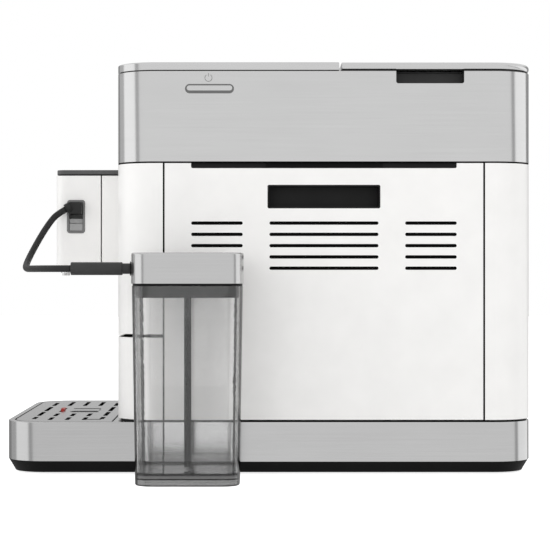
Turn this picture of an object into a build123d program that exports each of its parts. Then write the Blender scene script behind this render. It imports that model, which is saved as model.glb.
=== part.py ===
from build123d import *
import math
import os

os.makedirs("parts", exist_ok=True)

# Bean to cup coffee machine with a milk jug. Millimetres, front along -Y, +Z up,
# origin on the countertop under the centre of the machine's footprint.

# Driving sizes of the whole machine
WIDTH = 280.0
BODY_DEPTH = 379.0
TRAY_REACH = 101.0
DEPTH = BODY_DEPTH + TRAY_REACH
CORNER = 36.0

# Heights of the layers, from the countertop up
FOOT_GAP = 1.5
PLINTH_H = 10.2
BASE_H = 35.7
LOWER_SEAM = 2.0
DRAWER_PANEL_H = 74.4
SLIT_H = 3.0
UPPER_PANEL_H = 154.9
UPPER_SEAM = 1.5
BAND_H = 81.7
LID_SEAM = 1.1
LID_T = 7.0
CUP_ROOM = 138.6

# Walls, seams and clearances
PANEL_T = 2.5
STEEL_T = 2.0
FRAME_T = 2.6
LINER_T = 2.0
SEAM = 1.6
FIT = 0.1
GAP = 0.2
SLIDE_GAP = 0.3
EASE = 0.5
OVER = 1.0

# How far the front and rear shells wrap round the corners
FRONT_WRAP = 42.9
REAR_WRAP = 44.6

# How deep the drawer reaches into the body, and the bulkhead behind it
DRAWER_REACH = 159.0
BULK_CLEAR = 6.0
BULK_T = 3.0

# Places that follow from these sizes
SIDE = WIDTH / 2
REAR = DEPTH / 2
TRAY_FRONT = -DEPTH / 2
BODY_FRONT = REAR - BODY_DEPTH
PLINTH_TOP = FOOT_GAP + PLINTH_H
BASE_TOP = PLINTH_TOP + BASE_H
SHELL_LOW = BASE_TOP + LOWER_SEAM
SLIT_LOW = SHELL_LOW + DRAWER_PANEL_H
SLIT_TOP = SLIT_LOW + SLIT_H
SHELL_TOP = SLIT_TOP + UPPER_PANEL_H
BAND_LOW = SHELL_TOP + UPPER_SEAM
BAND_TOP = BAND_LOW + BAND_H
LID_LOW = BAND_TOP + LID_SEAM
TOP = LID_LOW + LID_T
WRAP_END = BODY_FRONT + FRONT_WRAP
DOOR_FRONT = WRAP_END + SEAM
REAR_START = REAR - REAR_WRAP
DOOR_BACK = REAR_START - SEAM
DOOR_MID = (DOOR_FRONT + DOOR_BACK) / 2
DOOR_HALF = (DOOR_BACK - DOOR_FRONT) / 2
DRAWER_TAIL = BODY_FRONT + DRAWER_REACH
BULK_FRONT = DRAWER_TAIL + BULK_CLEAR
BULK_BACK = BULK_FRONT + BULK_T
HEAD_LOW = BASE_TOP + CUP_ROOM
CARCASS_IN = PANEL_T + GAP
CARCASS_FACE = SIDE - CARCASS_IN
CARCASS_INNER = CARCASS_FACE - FRAME_T
CARCASS_TOP = BAND_LOW - GAP
LINER_IN = STEEL_T + FIT
LINER_TOP = BAND_TOP - 2 * GAP


def outline(front, back, inset, mode=Mode.ADD):
    """Rounded plan of the machine between two depths, drawn in by an inset."""
    with Locations((0, (front + back) / 2)):
        RectangleRounded(WIDTH - 2 * inset, back - front - 2 * inset, CORNER - inset, mode=mode)


def strip(front, back, mode=Mode.INTERSECT):
    """What lies between two depths of a plan."""
    with Locations((0, (front + back) / 2)):
        Rectangle(2 * WIDTH, back - front, mode=mode)


def plan_plate(low, high, front, back, inset, keep, mode=Mode.ADD):
    """Flat plate with the rounded plan, kept between two depths."""
    with BuildSketch(Plane.XY.offset(low)) as plan:
        outline(front, back, inset)
        strip(*keep)
    extrude(plan.sketch, amount=high - low, mode=mode)


def plan_wall(low, high, front, back, inset, thick, keep, mode=Mode.ADD):
    """Upright wall along the rounded plan, kept between two depths."""
    with BuildSketch(Plane.XY.offset(low)) as plan:
        outline(front, back, inset)
        outline(front, back, inset + thick, Mode.SUBTRACT)
        strip(*keep)
    extrude(plan.sketch, amount=high - low, mode=mode)


def block(x, y, z, mode=Mode.ADD, corner=0.0):
    """Block between pairs of limits along X, Y and Z, its upright corners rounded."""
    with BuildSketch(Plane.XY.offset(z[0])) as plan:
        with Locations(((x[0] + x[1]) / 2, (y[0] + y[1]) / 2)):
            if corner:
                RectangleRounded(x[1] - x[0], y[1] - y[0], corner)
            else:
                Rectangle(x[1] - x[0], y[1] - y[0])
    extrude(plan.sketch, amount=z[1] - z[0], mode=mode)


def rod(centre, z, radius, mode=Mode.ADD):
    """Upright round bar between two heights."""
    with BuildSketch(Plane.XY.offset(z[0])) as disc:
        with Locations(centre):
            Circle(radius)
    extrude(disc.sketch, amount=z[1] - z[0], mode=mode)


def bar(start, end, radius, mode=Mode.ADD):
    """Round bar from one point to another."""
    axis = Vector(*end) - Vector(*start)
    with BuildSketch(Plane(origin=start, z_dir=axis)) as disc:
        Circle(radius)
    extrude(disc.sketch, amount=axis.length, mode=mode)


def side_hole(x, centre, size, corner, mode=Mode.SUBTRACT):
    """Rounded rectangle drawn on a side, from one X to another."""
    with BuildSketch(Plane.YZ.offset(x[0])) as opening:
        with Locations(centre):
            RectangleRounded(size[0], size[1], corner)
    extrude(opening.sketch, amount=x[1] - x[0], mode=mode)


def front_hole(y, centre, size, corner, mode=Mode.SUBTRACT):
    """Rounded rectangle drawn on the front, from one Y back to another."""
    with BuildSketch(Plane.XZ.offset(-y[1])) as opening:
        with Locations(centre):
            RectangleRounded(size[0], size[1], corner)
    extrude(opening.sketch, amount=y[1] - y[0], mode=mode)


def save(piece, name):
    """Label a piece and write its STEP file."""
    piece.part.label = name
    export_step(piece.part, f"parts/{name}.step")


# Vent slots of the side panels: three groups of rows about the door's middle
VENT_H = 3.07
VENT_DROP = 54.3
VENT_PITCH = 10.2
VENT_ROWS = 5
VENT_SIDE_L = 46.6
VENT_END = 47.4
VENT_SPACE = 24.15
VENT_TOP = SHELL_TOP - VENT_DROP
VENT_SPREAD = DOOR_HALF - VENT_END
VENT_MID_L = 2 * (VENT_SPREAD - VENT_SIDE_L / 2 - VENT_SPACE)


def vents(x, mode=Mode.SUBTRACT):
    """The side panel's vent slots, cut from one X to another."""
    for place, length in (
        (DOOR_MID - VENT_SPREAD, VENT_SIDE_L),
        (DOOR_MID, VENT_MID_L),
        (DOOR_MID + VENT_SPREAD, VENT_SIDE_L),
    ):
        with BuildSketch(Plane.YZ.offset(x[0])) as slots:
            for row in range(VENT_ROWS):
                with Locations((place, VENT_TOP - row * VENT_PITCH)):
                    SlotOverall(length, VENT_H)
        extrude(slots.sketch, amount=x[1] - x[0], mode=mode)


# Screws up through the base pan into the carcass
SCREW_R = 1.6
SCREW_HEAD_R = 3.2
SCREW_HEAD_H = 2.0
SCREW_SINK = 1.2
SCREW_L = 18.0
BOSS_R = 5.5
BOSS_H = 18.0
SCREW_SIDE_IN = 23.0
SCREW_BEHIND = 24.0
SCREW_MID_IN = 100.0
SCREW_REAR_IN = 19.0
SCREW_X = SIDE - SCREW_SIDE_IN
SCREW_REAR_X = SIDE / 2
SCREW_ROWS = (BULK_FRONT + SCREW_BEHIND, REAR - SCREW_MID_IN)
SCREW_PLACES = [(side * SCREW_X, depth) for side in (-1, 1) for depth in SCREW_ROWS]
SCREW_PLACES += [(side * SCREW_REAR_X, REAR - SCREW_REAR_IN) for side in (-1, 1)]

# Feet
FOOT_R = 11.0
FOOT_H = 3.5
FOOT_SIDE_IN = 35.0
FOOT_END_IN = 40.0
FOOT_X = SIDE - FOOT_SIDE_IN
FOOT_Y = REAR - FOOT_END_IN
FOOT_PLACES = [(x * FOOT_X, y * FOOT_Y) for x in (-1, 1) for y in (-1, 1)]

with BuildPart() as feet:
    for place in FOOT_PLACES:
        rod(place, (0, FOOT_H), FOOT_R)
save(feet, "feet")

# Base pan: the black plinth, with the guides that the drawer runs between
PLINTH_TOP_IN = 0.4
PLINTH_FOOT_IN = 6.5
PAN_WALL_IN = 12.0
PAN_FLOOR = 4.5
GUIDE_T = 4.0
GUIDE_H = 18.0
TAIL_SIDE_IN = 28.0
DRAWER_TAIL_X = SIDE - TAIL_SIDE_IN
PAN_TOP = FOOT_GAP + PAN_FLOOR

with BuildPart() as base_pan:
    with BuildSketch(Plane.XY.offset(FOOT_GAP)):
        outline(TRAY_FRONT, REAR, PLINTH_FOOT_IN)
    with BuildSketch(Plane.XY.offset(PLINTH_TOP)):
        outline(TRAY_FRONT, REAR, PLINTH_TOP_IN)
    loft()
    plan_plate(PAN_TOP, PLINTH_TOP, TRAY_FRONT, REAR, PAN_WALL_IN, (TRAY_FRONT, REAR), Mode.SUBTRACT)
    for side in (-1, 1):
        near = side * (DRAWER_TAIL_X + SLIDE_GAP)
        far = side * (DRAWER_TAIL_X + SLIDE_GAP + GUIDE_T)
        block(sorted((near, far)), (DOOR_FRONT, DRAWER_TAIL), (PAN_TOP, PAN_TOP + GUIDE_H))
    for place in FOOT_PLACES:
        rod(place, (0, FOOT_H), FOOT_R + GAP, Mode.SUBTRACT)
    for place in SCREW_PLACES:
        rod(place, (0, PLINTH_TOP), SCREW_R + FIT, Mode.SUBTRACT)
        rod(place, (0, FOOT_GAP + SCREW_SINK + SCREW_HEAD_H), SCREW_HEAD_R + GAP, Mode.SUBTRACT)
save(base_pan, "base_pan")

with BuildPart() as case_screws:
    for place in SCREW_PLACES:
        head_low = FOOT_GAP + SCREW_SINK
        rod(place, (head_low, head_low + SCREW_HEAD_H), SCREW_HEAD_R)
        rod(place, (head_low + SCREW_HEAD_H, head_low + SCREW_L), SCREW_R)
save(case_screws, "case_screws")

# Steel base band, the fixed rear piece
with BuildPart() as base_band:
    plan_wall(PLINTH_TOP, BASE_TOP, TRAY_FRONT, REAR, 0, STEEL_T, (DOOR_FRONT, REAR + OVER))
save(base_band, "base_band")

# Mains inlet, a socket for an appliance lead, at the rear
INLET_UP = 35.6
INLET_X = SIDE / 2
INLET_Z = SHELL_LOW + INLET_UP
INLET_W = 27.8
INLET_H = 20.2
INLET_CORNER = 2.0
INLET_FLANGE = 2.9
INLET_FLANGE_T = 2.2
INLET_BODY = 22.0
SOCKET_W = 24.0
SOCKET_H = 16.4
SOCKET_DEPTH = 17.0
PIN_W = 2.0
PIN_T = 4.0
PIN_L = 14.0
PIN_PITCH = 7.0
PIN_DROP = 2.0
INLET_OUT = REAR - 2 * GAP
INLET_IN = INLET_OUT - INLET_FLANGE_T

# Feed pipe: brings coffee out through the head's rail
FEED_UP = 14.0
FEED_R = 3.0
FEED_BORE_R = 2.2
FEED_INWARD = 28.0
FEED_OUTWARD = 31.0
FEED_GAP = 0.3
FEED_Z = HEAD_LOW + FEED_UP
FEED_IN = BODY_FRONT + FEED_INWARD
FEED_OUT = BODY_FRONT - FEED_OUTWARD

# Service door's flange and grip, which the inner frame leaves room for
DOOR_FLANGE = 9.0
DOOR_FLANGE_T = 2.0
DOOR_CLEAR = 0.6
GRIP_L = 102.1
GRIP_H = 21.3
GRIP_DROP = 30.35
GRIP_CORNER = 1.5
GRIP_DEPTH = 18.0
GRIP_T = 1.2
GRIP_Z = SHELL_TOP - GRIP_DROP

# Inner hoses, and where they meet the brew unit
BREW_X = 72.0
BREW_IN = 105.0
NIPPLE_X = 9.0
HOT_HOSE_DROP = 19.7
TUBE_R = 3.0
BREW_Y = BODY_FRONT + BREW_IN
HOT_HOSE_Z = SHELL_TOP - HOT_HOSE_DROP

# Carcass: the black inner frame, with a bulkhead behind the drawer
WINDOW_MARGIN = 10.0
SLOT_IN = 24.05
SLOT_H = 4.6
SLOT_MID_L = 101.2
SLOT_POCKET_H = 6.7
SLOT_L = 2 * (DOOR_HALF - SLOT_IN)
WINDOW_FRONT = DOOR_FRONT + WINDOW_MARGIN
WINDOW_BACK = DOOR_BACK - WINDOW_MARGIN
WINDOW_LOW = SHELL_LOW + WINDOW_MARGIN
WINDOW_TOP = SHELL_TOP - WINDOW_MARGIN

with BuildPart() as carcass:
    plan_wall(PLINTH_TOP, CARCASS_TOP, BODY_FRONT, REAR, CARCASS_IN, FRAME_T, (BODY_FRONT, REAR))
    block(
        (-SIDE, SIDE),
        (BODY_FRONT - OVER, DOOR_FRONT + SLIDE_GAP),
        (PLINTH_TOP - OVER, SLIT_TOP + EASE),
        Mode.SUBTRACT,
    )
    block(
        (CARCASS_INNER - OVER, SIDE), (WINDOW_FRONT, WINDOW_BACK), (WINDOW_LOW, WINDOW_TOP), Mode.SUBTRACT
    )
    block(
        (CARCASS_INNER - OVER, SIDE),
        (DOOR_MID - SLOT_MID_L / 2, DOOR_MID + SLOT_MID_L / 2),
        (SHELL_TOP - SLOT_POCKET_H, SHELL_TOP),
        Mode.SUBTRACT,
    )
    block(
        (-CARCASS_FACE + GAP, CARCASS_FACE - GAP),
        (BULK_FRONT, BULK_FRONT + BULK_T),
        (PLINTH_TOP, CARCASS_TOP),
    )
    flange_room = SIDE - PANEL_T - DOOR_FLANGE - OVER
    through_bulk = (BULK_FRONT - OVER, BULK_FRONT + BULK_T + OVER)
    block((flange_room, SIDE), through_bulk, (WINDOW_LOW, WINDOW_TOP), Mode.SUBTRACT)
    grip_half = GRIP_H / 2 + OVER
    grip_room = SIDE - PANEL_T - GRIP_DEPTH - OVER
    block((grip_room, SIDE), through_bulk, (GRIP_Z - grip_half, GRIP_Z + grip_half), Mode.SUBTRACT)
    bar(
        (BREW_X + NIPPLE_X, BULK_FRONT - OVER, HOT_HOSE_Z),
        (BREW_X + NIPPLE_X, BULK_FRONT + BULK_T + OVER, HOT_HOSE_Z),
        TUBE_R + SLIDE_GAP,
        Mode.SUBTRACT,
    )
    pan_in = SIDE - PAN_WALL_IN - SLIDE_GAP
    block((-pan_in, pan_in), (BULK_FRONT, BULK_FRONT + BULK_T), (PAN_TOP, PLINTH_TOP))
    for x, y in SCREW_PLACES:
        rod((x, y), (PAN_TOP, PAN_TOP + BOSS_H), BOSS_R)
    for x, y in SCREW_PLACES:
        if abs(x) > SCREW_REAR_X:
            outward = math.copysign(CARCASS_FACE - GAP, x)
            block(sorted((x, outward)), (y - BOSS_R, y + BOSS_R), (PLINTH_TOP, PAN_TOP + BOSS_H))
        else:
            block((x - BOSS_R, x + BOSS_R), (y, REAR - CARCASS_IN - GAP), (PLINTH_TOP, PAN_TOP + BOSS_H))
    for place in SCREW_PLACES:
        rod(place, (PAN_TOP - OVER, PAN_TOP + BOSS_H + OVER), SCREW_R + FIT, Mode.SUBTRACT)
    front_hole(
        (REAR - PAN_WALL_IN, REAR), (INLET_X, INLET_Z), (INLET_W + 2 * GAP, INLET_H + 2 * GAP), INLET_CORNER
    )
    bar((0, FEED_OUT, FEED_Z), (0, FEED_IN, FEED_Z), FEED_R + FEED_GAP, Mode.SUBTRACT)
save(carcass, "carcass")

with BuildPart() as mains_inlet:
    front_hole(
        (INLET_IN, INLET_OUT),
        (INLET_X, INLET_Z),
        (INLET_W + 2 * INLET_FLANGE, INLET_H + 2 * INLET_FLANGE),
        INLET_CORNER,
        Mode.ADD,
    )
    front_hole(
        (INLET_IN - INLET_BODY, INLET_IN), (INLET_X, INLET_Z), (INLET_W, INLET_H), INLET_CORNER, Mode.ADD
    )
    front_hole(
        (INLET_OUT - SOCKET_DEPTH, INLET_OUT + OVER),
        (INLET_X, INLET_Z),
        (SOCKET_W, SOCKET_H),
        INLET_CORNER,
    )
    for step, drop in ((-1, 1), (0, -1), (1, 1)):
        block(
            (INLET_X + step * PIN_PITCH - PIN_W / 2, INLET_X + step * PIN_PITCH + PIN_W / 2),
            (INLET_OUT - SOCKET_DEPTH - OVER, INLET_OUT - SOCKET_DEPTH + PIN_L),
            (INLET_Z - drop * PIN_DROP - PIN_T / 2, INLET_Z - drop * PIN_DROP + PIN_T / 2),
        )
save(mains_inlet, "mains_inlet")

# White front shell, its lower edge drawn down to a narrow slit at the front
SLIT_TIP = 1.9
SLIT_LEAD = 2.0
SLIT_RAMP = 6.0

with BuildPart() as front_shell:
    plan_wall(
        SLIT_TOP - SLIT_TIP,
        SHELL_TOP,
        BODY_FRONT,
        REAR,
        0,
        PANEL_T,
        (BODY_FRONT - OVER, WRAP_END),
    )
    tip_y = BODY_FRONT + SLIT_LEAD
    under = SLIT_TOP - SLIT_TIP
    with BuildSketch(Plane.YZ.offset(-SIDE)):
        with BuildLine():
            Polyline(
                (tip_y, under - OVER),
                (tip_y, under),
                (tip_y + SLIT_RAMP, SLIT_TOP),
                (WRAP_END + OVER, SLIT_TOP),
                (WRAP_END + OVER, under - OVER),
                close=True,
            )
        make_face()
    extrude(amount=WIDTH, mode=Mode.SUBTRACT)
    bar((0, FEED_OUT, FEED_Z), (0, FEED_IN, FEED_Z), FEED_R + FEED_GAP, Mode.SUBTRACT)
save(front_shell, "front_shell")

# White left panel and rear shell
with BuildPart() as left_panel:
    block((-SIDE, -SIDE + PANEL_T), (DOOR_FRONT, DOOR_BACK), (SHELL_LOW, SHELL_TOP))
    vents((-SIDE - OVER, -SIDE + PANEL_T + OVER))
    fillet(left_panel.faces().sort_by(Axis.X)[0].outer_wire().edges(), EASE)
save(left_panel, "left_panel")

REAR_VENT_L = 120.0
REAR_VENT_X = -20.0

with BuildPart() as rear_shell:
    plan_wall(SHELL_LOW, SHELL_TOP, BODY_FRONT, REAR, 0, PANEL_T, (REAR_START, REAR + OVER))
    with BuildSketch(Plane.XZ.offset(-REAR - OVER)):
        for row in range(VENT_ROWS):
            with Locations((REAR_VENT_X, VENT_TOP - row * VENT_PITCH)):
                SlotOverall(REAR_VENT_L, VENT_H)
    extrude(amount=PANEL_T + 2 * OVER, mode=Mode.SUBTRACT)
    flange = 2 * (INLET_FLANGE + GAP)
    front_hole(
        (REAR - CORNER, REAR + OVER), (INLET_X, INLET_Z), (INLET_W + flange, INLET_H + flange), INLET_CORNER
    )
save(rear_shell, "rear_shell")

# Service door on the right: pulled straight off by its grip
with BuildPart() as service_door:
    block((SIDE - PANEL_T, SIDE), (DOOR_FRONT, DOOR_BACK), (SHELL_LOW, SHELL_TOP))
    window_mid = (DOOR_MID, (WINDOW_LOW + WINDOW_TOP) / 2)
    window_l = WINDOW_BACK - WINDOW_FRONT - 2 * DOOR_CLEAR
    window_h = WINDOW_TOP - WINDOW_LOW - 2 * DOOR_CLEAR
    flange_x = (SIDE - PANEL_T - DOOR_FLANGE, SIDE - PANEL_T)
    side_hole(flange_x, window_mid, (window_l, window_h), GRIP_CORNER * 2, Mode.ADD)
    inner = 2 * DOOR_FLANGE_T
    side_hole(flange_x, window_mid, (window_l - inner, window_h - inner), GRIP_CORNER)
    side_hole((SIDE - PANEL_T - OVER, SIDE + OVER), (DOOR_MID, GRIP_Z), (GRIP_L, GRIP_H), GRIP_CORNER)
    vents((SIDE - PANEL_T - OVER, SIDE + OVER))
    side_hole(
        (SIDE - PANEL_T - OVER, SIDE + OVER),
        (DOOR_MID, SHELL_TOP),
        (SLOT_L, 2 * SLOT_H),
        GRIP_CORNER,
    )
    fillet(service_door.faces().sort_by(Axis.X)[-1].outer_wire().edges(), EASE)
save(service_door, "service_door")

with BuildPart() as door_grip:
    cup_x = (SIDE - PANEL_T - GRIP_DEPTH, SIDE - 2 * GAP)
    side_hole(cup_x, (DOOR_MID, GRIP_Z), (GRIP_L - FIT, GRIP_H - FIT), GRIP_CORNER, Mode.ADD)
    cup_in = FIT + 2 * GRIP_T
    cup_size = (GRIP_L - cup_in, GRIP_H - cup_in)
    side_hole((cup_x[0] + GRIP_T, SIDE), (DOOR_MID, GRIP_Z), cup_size, GRIP_CORNER - EASE)
save(door_grip, "door_grip")

# Split of the top between the front cover and the tank's lid
SPLIT_REACH = 202.5
SPLIT_GAP = 2.2
SPLIT_FRONT = BODY_FRONT + SPLIT_REACH
SPLIT_BACK = SPLIT_FRONT + SPLIT_GAP

# Steel top band with the finger notch, the power button's hole and the display's opening
NOTCH_L = 61.5
NOTCH_AHEAD = 7.1
NOTCH_H = 11.1
NOTCH_CORNER = 2.0
NOTCH_DEPTH = 14.0
NOTCH_T = 1.5
BUTTON_L = 44.3
BUTTON_H = 8.5
BUTTON_IN = 85.15
BUTTON_DROP = 15.95
BUTTON_GAP = 0.6
BUTTON_SINK = 0.4
BUTTON_TRAVEL = 1.5
DISPLAY_L = 192.0
DISPLAY_H = 56.0
DISPLAY_CORNER = 4.0
DISPLAY_Z = (BAND_LOW + BAND_TOP) / 2
BUTTON_Y = BODY_FRONT + BUTTON_IN
BUTTON_Z = BAND_TOP - BUTTON_DROP
NOTCH_MID = (SPLIT_BACK + REAR) / 2 - NOTCH_AHEAD
NOTCH_FRONT = NOTCH_MID - NOTCH_L / 2
NOTCH_BACK = NOTCH_MID + NOTCH_L / 2
NOTCH_LOW = BAND_TOP - NOTCH_H


def stadium(x, length, height, mode=Mode.ADD):
    """The power button's outline on the right side, from one X to another."""
    with BuildSketch(Plane.YZ.offset(x[0])) as shape:
        with Locations((BUTTON_Y, BUTTON_Z)):
            SlotOverall(length, height)
    extrude(shape.sketch, amount=x[1] - x[0], mode=mode)


with BuildPart() as top_band:
    plan_wall(BAND_LOW, BAND_TOP, BODY_FRONT, REAR, 0, STEEL_T, (BODY_FRONT - OVER, REAR + OVER))
    side_hole(
        (SIDE - STEEL_T - OVER, SIDE + OVER),
        (NOTCH_MID, BAND_TOP),
        (NOTCH_L, 2 * (BAND_TOP - NOTCH_LOW)),
        NOTCH_CORNER,
    )
    stadium((SIDE - STEEL_T - OVER, SIDE + OVER), BUTTON_L, BUTTON_H, Mode.SUBTRACT)
    front_hole(
        (BODY_FRONT - OVER, BODY_FRONT + STEEL_T + OVER),
        (0, DISPLAY_Z),
        (DISPLAY_L, DISPLAY_H),
        DISPLAY_CORNER,
    )
save(top_band, "top_band")

with BuildPart() as display_glass:
    front_hole(
        (BODY_FRONT, BODY_FRONT + STEEL_T - FIT),
        (0, DISPLAY_Z),
        (DISPLAY_L - 2 * GAP, DISPLAY_H - 2 * GAP),
        DISPLAY_CORNER - GAP,
        Mode.ADD,
    )
save(display_glass, "display_glass")

# Power button, held behind the band by its flange
BUTTON_FLANGE = 1.6
BUTTON_FLANGE_T = 1.2
BUTTON_STEM_L = 9.0

with BuildPart() as power_button:
    stadium(
        (SIDE - STEEL_T - BUTTON_FLANGE_T, SIDE - BUTTON_SINK),
        BUTTON_L - 2 * BUTTON_GAP,
        BUTTON_H - 2 * BUTTON_GAP,
    )
    fillet(power_button.faces().sort_by(Axis.X)[-1].outer_wire().edges(), EASE)
    flange_x = (SIDE - STEEL_T - GAP - BUTTON_FLANGE_T, SIDE - STEEL_T - GAP)
    stadium(flange_x, BUTTON_L + BUTTON_FLANGE, BUTTON_H + BUTTON_FLANGE)
    bar(
        (flange_x[0] - BUTTON_STEM_L, BUTTON_Y, BUTTON_Z),
        (flange_x[0], BUTTON_Y, BUTTON_Z),
        BUTTON_H / 4,
    )
save(power_button, "power_button")

# Top frame: the black liner of the band, with the hopper's deck and the tank bay's front wall
DECK_DROP = 8.9
DECK_T = 2.5
BAY_WALL_T = 2.5
HOPPER_IN = 127.0
HOPPER_L = 172.0
HOPPER_W = 98.0
HOPPER_CORNER = 12.0
HOPPER_LIP = 6.0
HOPPER_LIP_T = 2.0
SWITCH_T = 4.0
HOPPER_Y = BODY_FRONT + HOPPER_IN
DECK_LOW = BAND_TOP - DECK_DROP
DECK_TOP = DECK_LOW + DECK_T

with BuildPart() as top_frame:
    plan_wall(BAND_LOW, LINER_TOP, BODY_FRONT, REAR, LINER_IN, LINER_T, (BODY_FRONT, REAR))
    plan_wall(
        LINER_TOP, LID_LOW - FIT, BODY_FRONT, REAR, LINER_IN, LINER_T, (BODY_FRONT, SPLIT_FRONT - EASE)
    )
    plan_plate(DECK_LOW, DECK_TOP, BODY_FRONT, REAR, LINER_IN + GAP, (BODY_FRONT, SPLIT_BACK))
    bay_x = SIDE - LINER_IN - LINER_T / 2
    block((-bay_x, bay_x), (SPLIT_BACK + GAP, SPLIT_BACK + GAP + BAY_WALL_T), (BAND_LOW, LINER_TOP))
    block(
        (-bay_x, bay_x),
        (SPLIT_BACK - BAY_WALL_T, SPLIT_BACK + BAY_WALL_T),
        (DECK_LOW, DECK_TOP),
    )
    hopper_x = HOPPER_L / 2 + OVER
    hopper_y = HOPPER_W / 2 + OVER
    block(
        (-hopper_x, hopper_x),
        (HOPPER_Y - hopper_y, HOPPER_Y + hopper_y),
        (DECK_LOW - OVER, DECK_TOP + OVER),
        Mode.SUBTRACT,
        HOPPER_CORNER + OVER,
    )
    stadium(
        (SIDE - NOTCH_DEPTH, SIDE),
        BUTTON_L + BUTTON_FLANGE + 2 * BUTTON_GAP,
        BUTTON_H + BUTTON_FLANGE + 2 * BUTTON_GAP,
        Mode.SUBTRACT,
    )
    switch_out = SIDE - STEEL_T - GAP - BUTTON_FLANGE_T - BUTTON_STEM_L - BUTTON_TRAVEL - SLIDE_GAP
    block(
        (switch_out - SWITCH_T, switch_out),
        (BUTTON_Y - BUTTON_H, BUTTON_Y + BUTTON_H),
        (BUTTON_Z - BUTTON_H, DECK_LOW),
    )
    pocket_y = (NOTCH_FRONT - NOTCH_T, NOTCH_BACK + NOTCH_T)
    block(
        (SIDE - STEEL_T - NOTCH_DEPTH - NOTCH_T, SIDE - LINER_IN - GAP),
        pocket_y,
        (NOTCH_LOW - NOTCH_T, LINER_TOP),
    )
    side_hole(
        (SIDE - STEEL_T - NOTCH_DEPTH, SIDE),
        (NOTCH_MID, BAND_TOP),
        (NOTCH_L, 2 * (BAND_TOP - NOTCH_LOW)),
        NOTCH_CORNER,
    )
save(top_frame, "top_frame")

# Front top cover, hollow underneath, with the opening of the hopper's lid
COVER_T = 1.8
COVER_WALL = 2.0
COVER_COLLAR = 2.5
COVER_EDGE = 1.0
HATCH_X = 90.0
HATCH_AHEAD = 58.0
HATCH_BEHIND = 57.0
HATCH_GAP = 0.4
HATCH_CORNER = 4.0
HATCH_PIN_R = 1.45
HATCH_PIN_L = 2.3
PIN_FIT = 0.05
HATCH_FRONT = HOPPER_Y - HATCH_AHEAD
HATCH_BACK = HOPPER_Y + HATCH_BEHIND
HATCH_LID_T = LID_T - 2 * HATCH_GAP
PIVOT_Z = LID_LOW + LID_T / 2
HATCH_PIVOT_Y = HATCH_BACK - HATCH_GAP - HATCH_LID_T / 2

with BuildPart() as front_top_cover:
    cover_keep = (BODY_FRONT - OVER, SPLIT_FRONT)
    plan_plate(LID_LOW, TOP, BODY_FRONT, REAR, 0, cover_keep)
    fillet(front_top_cover.faces().sort_by(Axis.Z)[-1].outer_wire().edges(), COVER_EDGE)
    plan_plate(
        LID_LOW - OVER,
        TOP - COVER_T,
        BODY_FRONT,
        REAR,
        COVER_WALL,
        (BODY_FRONT, SPLIT_FRONT - COVER_WALL),
        Mode.SUBTRACT,
    )
    block(
        (-HATCH_X - COVER_COLLAR, HATCH_X + COVER_COLLAR),
        (HATCH_FRONT - COVER_COLLAR, HATCH_BACK + COVER_COLLAR),
        (LID_LOW, TOP - COVER_T),
    )
    hatch_z = (LID_LOW - OVER, TOP + OVER)
    block((-HATCH_X, HATCH_X), (HATCH_FRONT, HATCH_BACK), hatch_z, Mode.SUBTRACT, HATCH_CORNER)
    block((-HATCH_X, HATCH_X), (HATCH_BACK - 2 * HATCH_CORNER, HATCH_BACK), hatch_z, Mode.SUBTRACT)
    hole_x = HATCH_X + COVER_COLLAR + OVER
    bar(
        (-hole_x, HATCH_PIVOT_Y, PIVOT_Z),
        (hole_x, HATCH_PIVOT_Y, PIVOT_Z),
        HATCH_PIN_R + PIN_FIT,
        Mode.SUBTRACT,
    )
save(front_top_cover, "front_top_cover")

# Hopper lid: lies in the cover's opening and turns on two stub pins at its back edge
SCOOP_X = 14.0
SCOOP_Y = 6.0

with BuildPart() as hopper_lid:
    lid_x = HATCH_X - HATCH_GAP
    lid_z = (LID_LOW + HATCH_GAP, TOP - HATCH_GAP)
    block((-lid_x, lid_x), (HATCH_FRONT + HATCH_GAP, HATCH_PIVOT_Y), lid_z)
    fillet(
        hopper_lid.edges().filter_by(Axis.Z).group_by(Axis.Y)[0],
        HATCH_CORNER - HATCH_GAP,
    )
    bar((-lid_x, HATCH_PIVOT_Y, PIVOT_Z), (lid_x, HATCH_PIVOT_Y, PIVOT_Z), HATCH_LID_T / 2)
    pin_x = lid_x + HATCH_PIN_L
    bar((-pin_x, HATCH_PIVOT_Y, PIVOT_Z), (pin_x, HATCH_PIVOT_Y, PIVOT_Z), HATCH_PIN_R)
    block(
        (-SCOOP_X, SCOOP_X),
        (HATCH_FRONT - OVER, HATCH_FRONT + SCOOP_Y),
        (lid_z[0] - OVER, lid_z[1] + OVER),
        Mode.SUBTRACT,
    )
save(hopper_lid, "hopper_lid")

# Bean hopper: a funnel whose lip rests on the deck, with a round neck over the grinder
HOPPER_DROP = 36.5
HOPPER_SHRINK = 32.0
HOPPER_T = 2.0
NECK_R = 14.5
NECK_T = 2.0
NECK_L = 14.0
GRIND_X = -35.0
GRIND_Y = HOPPER_Y
GRIND = (GRIND_X, GRIND_Y)
FUNNEL_LOW = DECK_TOP - HOPPER_DROP
NECK_LOW = FUNNEL_LOW - NECK_L


def funnel(low, high, thick, mode=Mode.ADD):
    """Tapered well of the hopper, drawn in by a wall's thickness."""
    sections = []
    for z, shrink in ((low, HOPPER_SHRINK), (high, 0.0)):
        inward = 2 * (shrink + thick)
        with BuildSketch(Plane.XY.offset(z)) as section:
            with Locations((0, HOPPER_Y)):
                RectangleRounded(HOPPER_L - inward, HOPPER_W - inward, HOPPER_CORNER - thick)
        sections.append(section.sketch)
    loft(sections, mode=mode)


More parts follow.
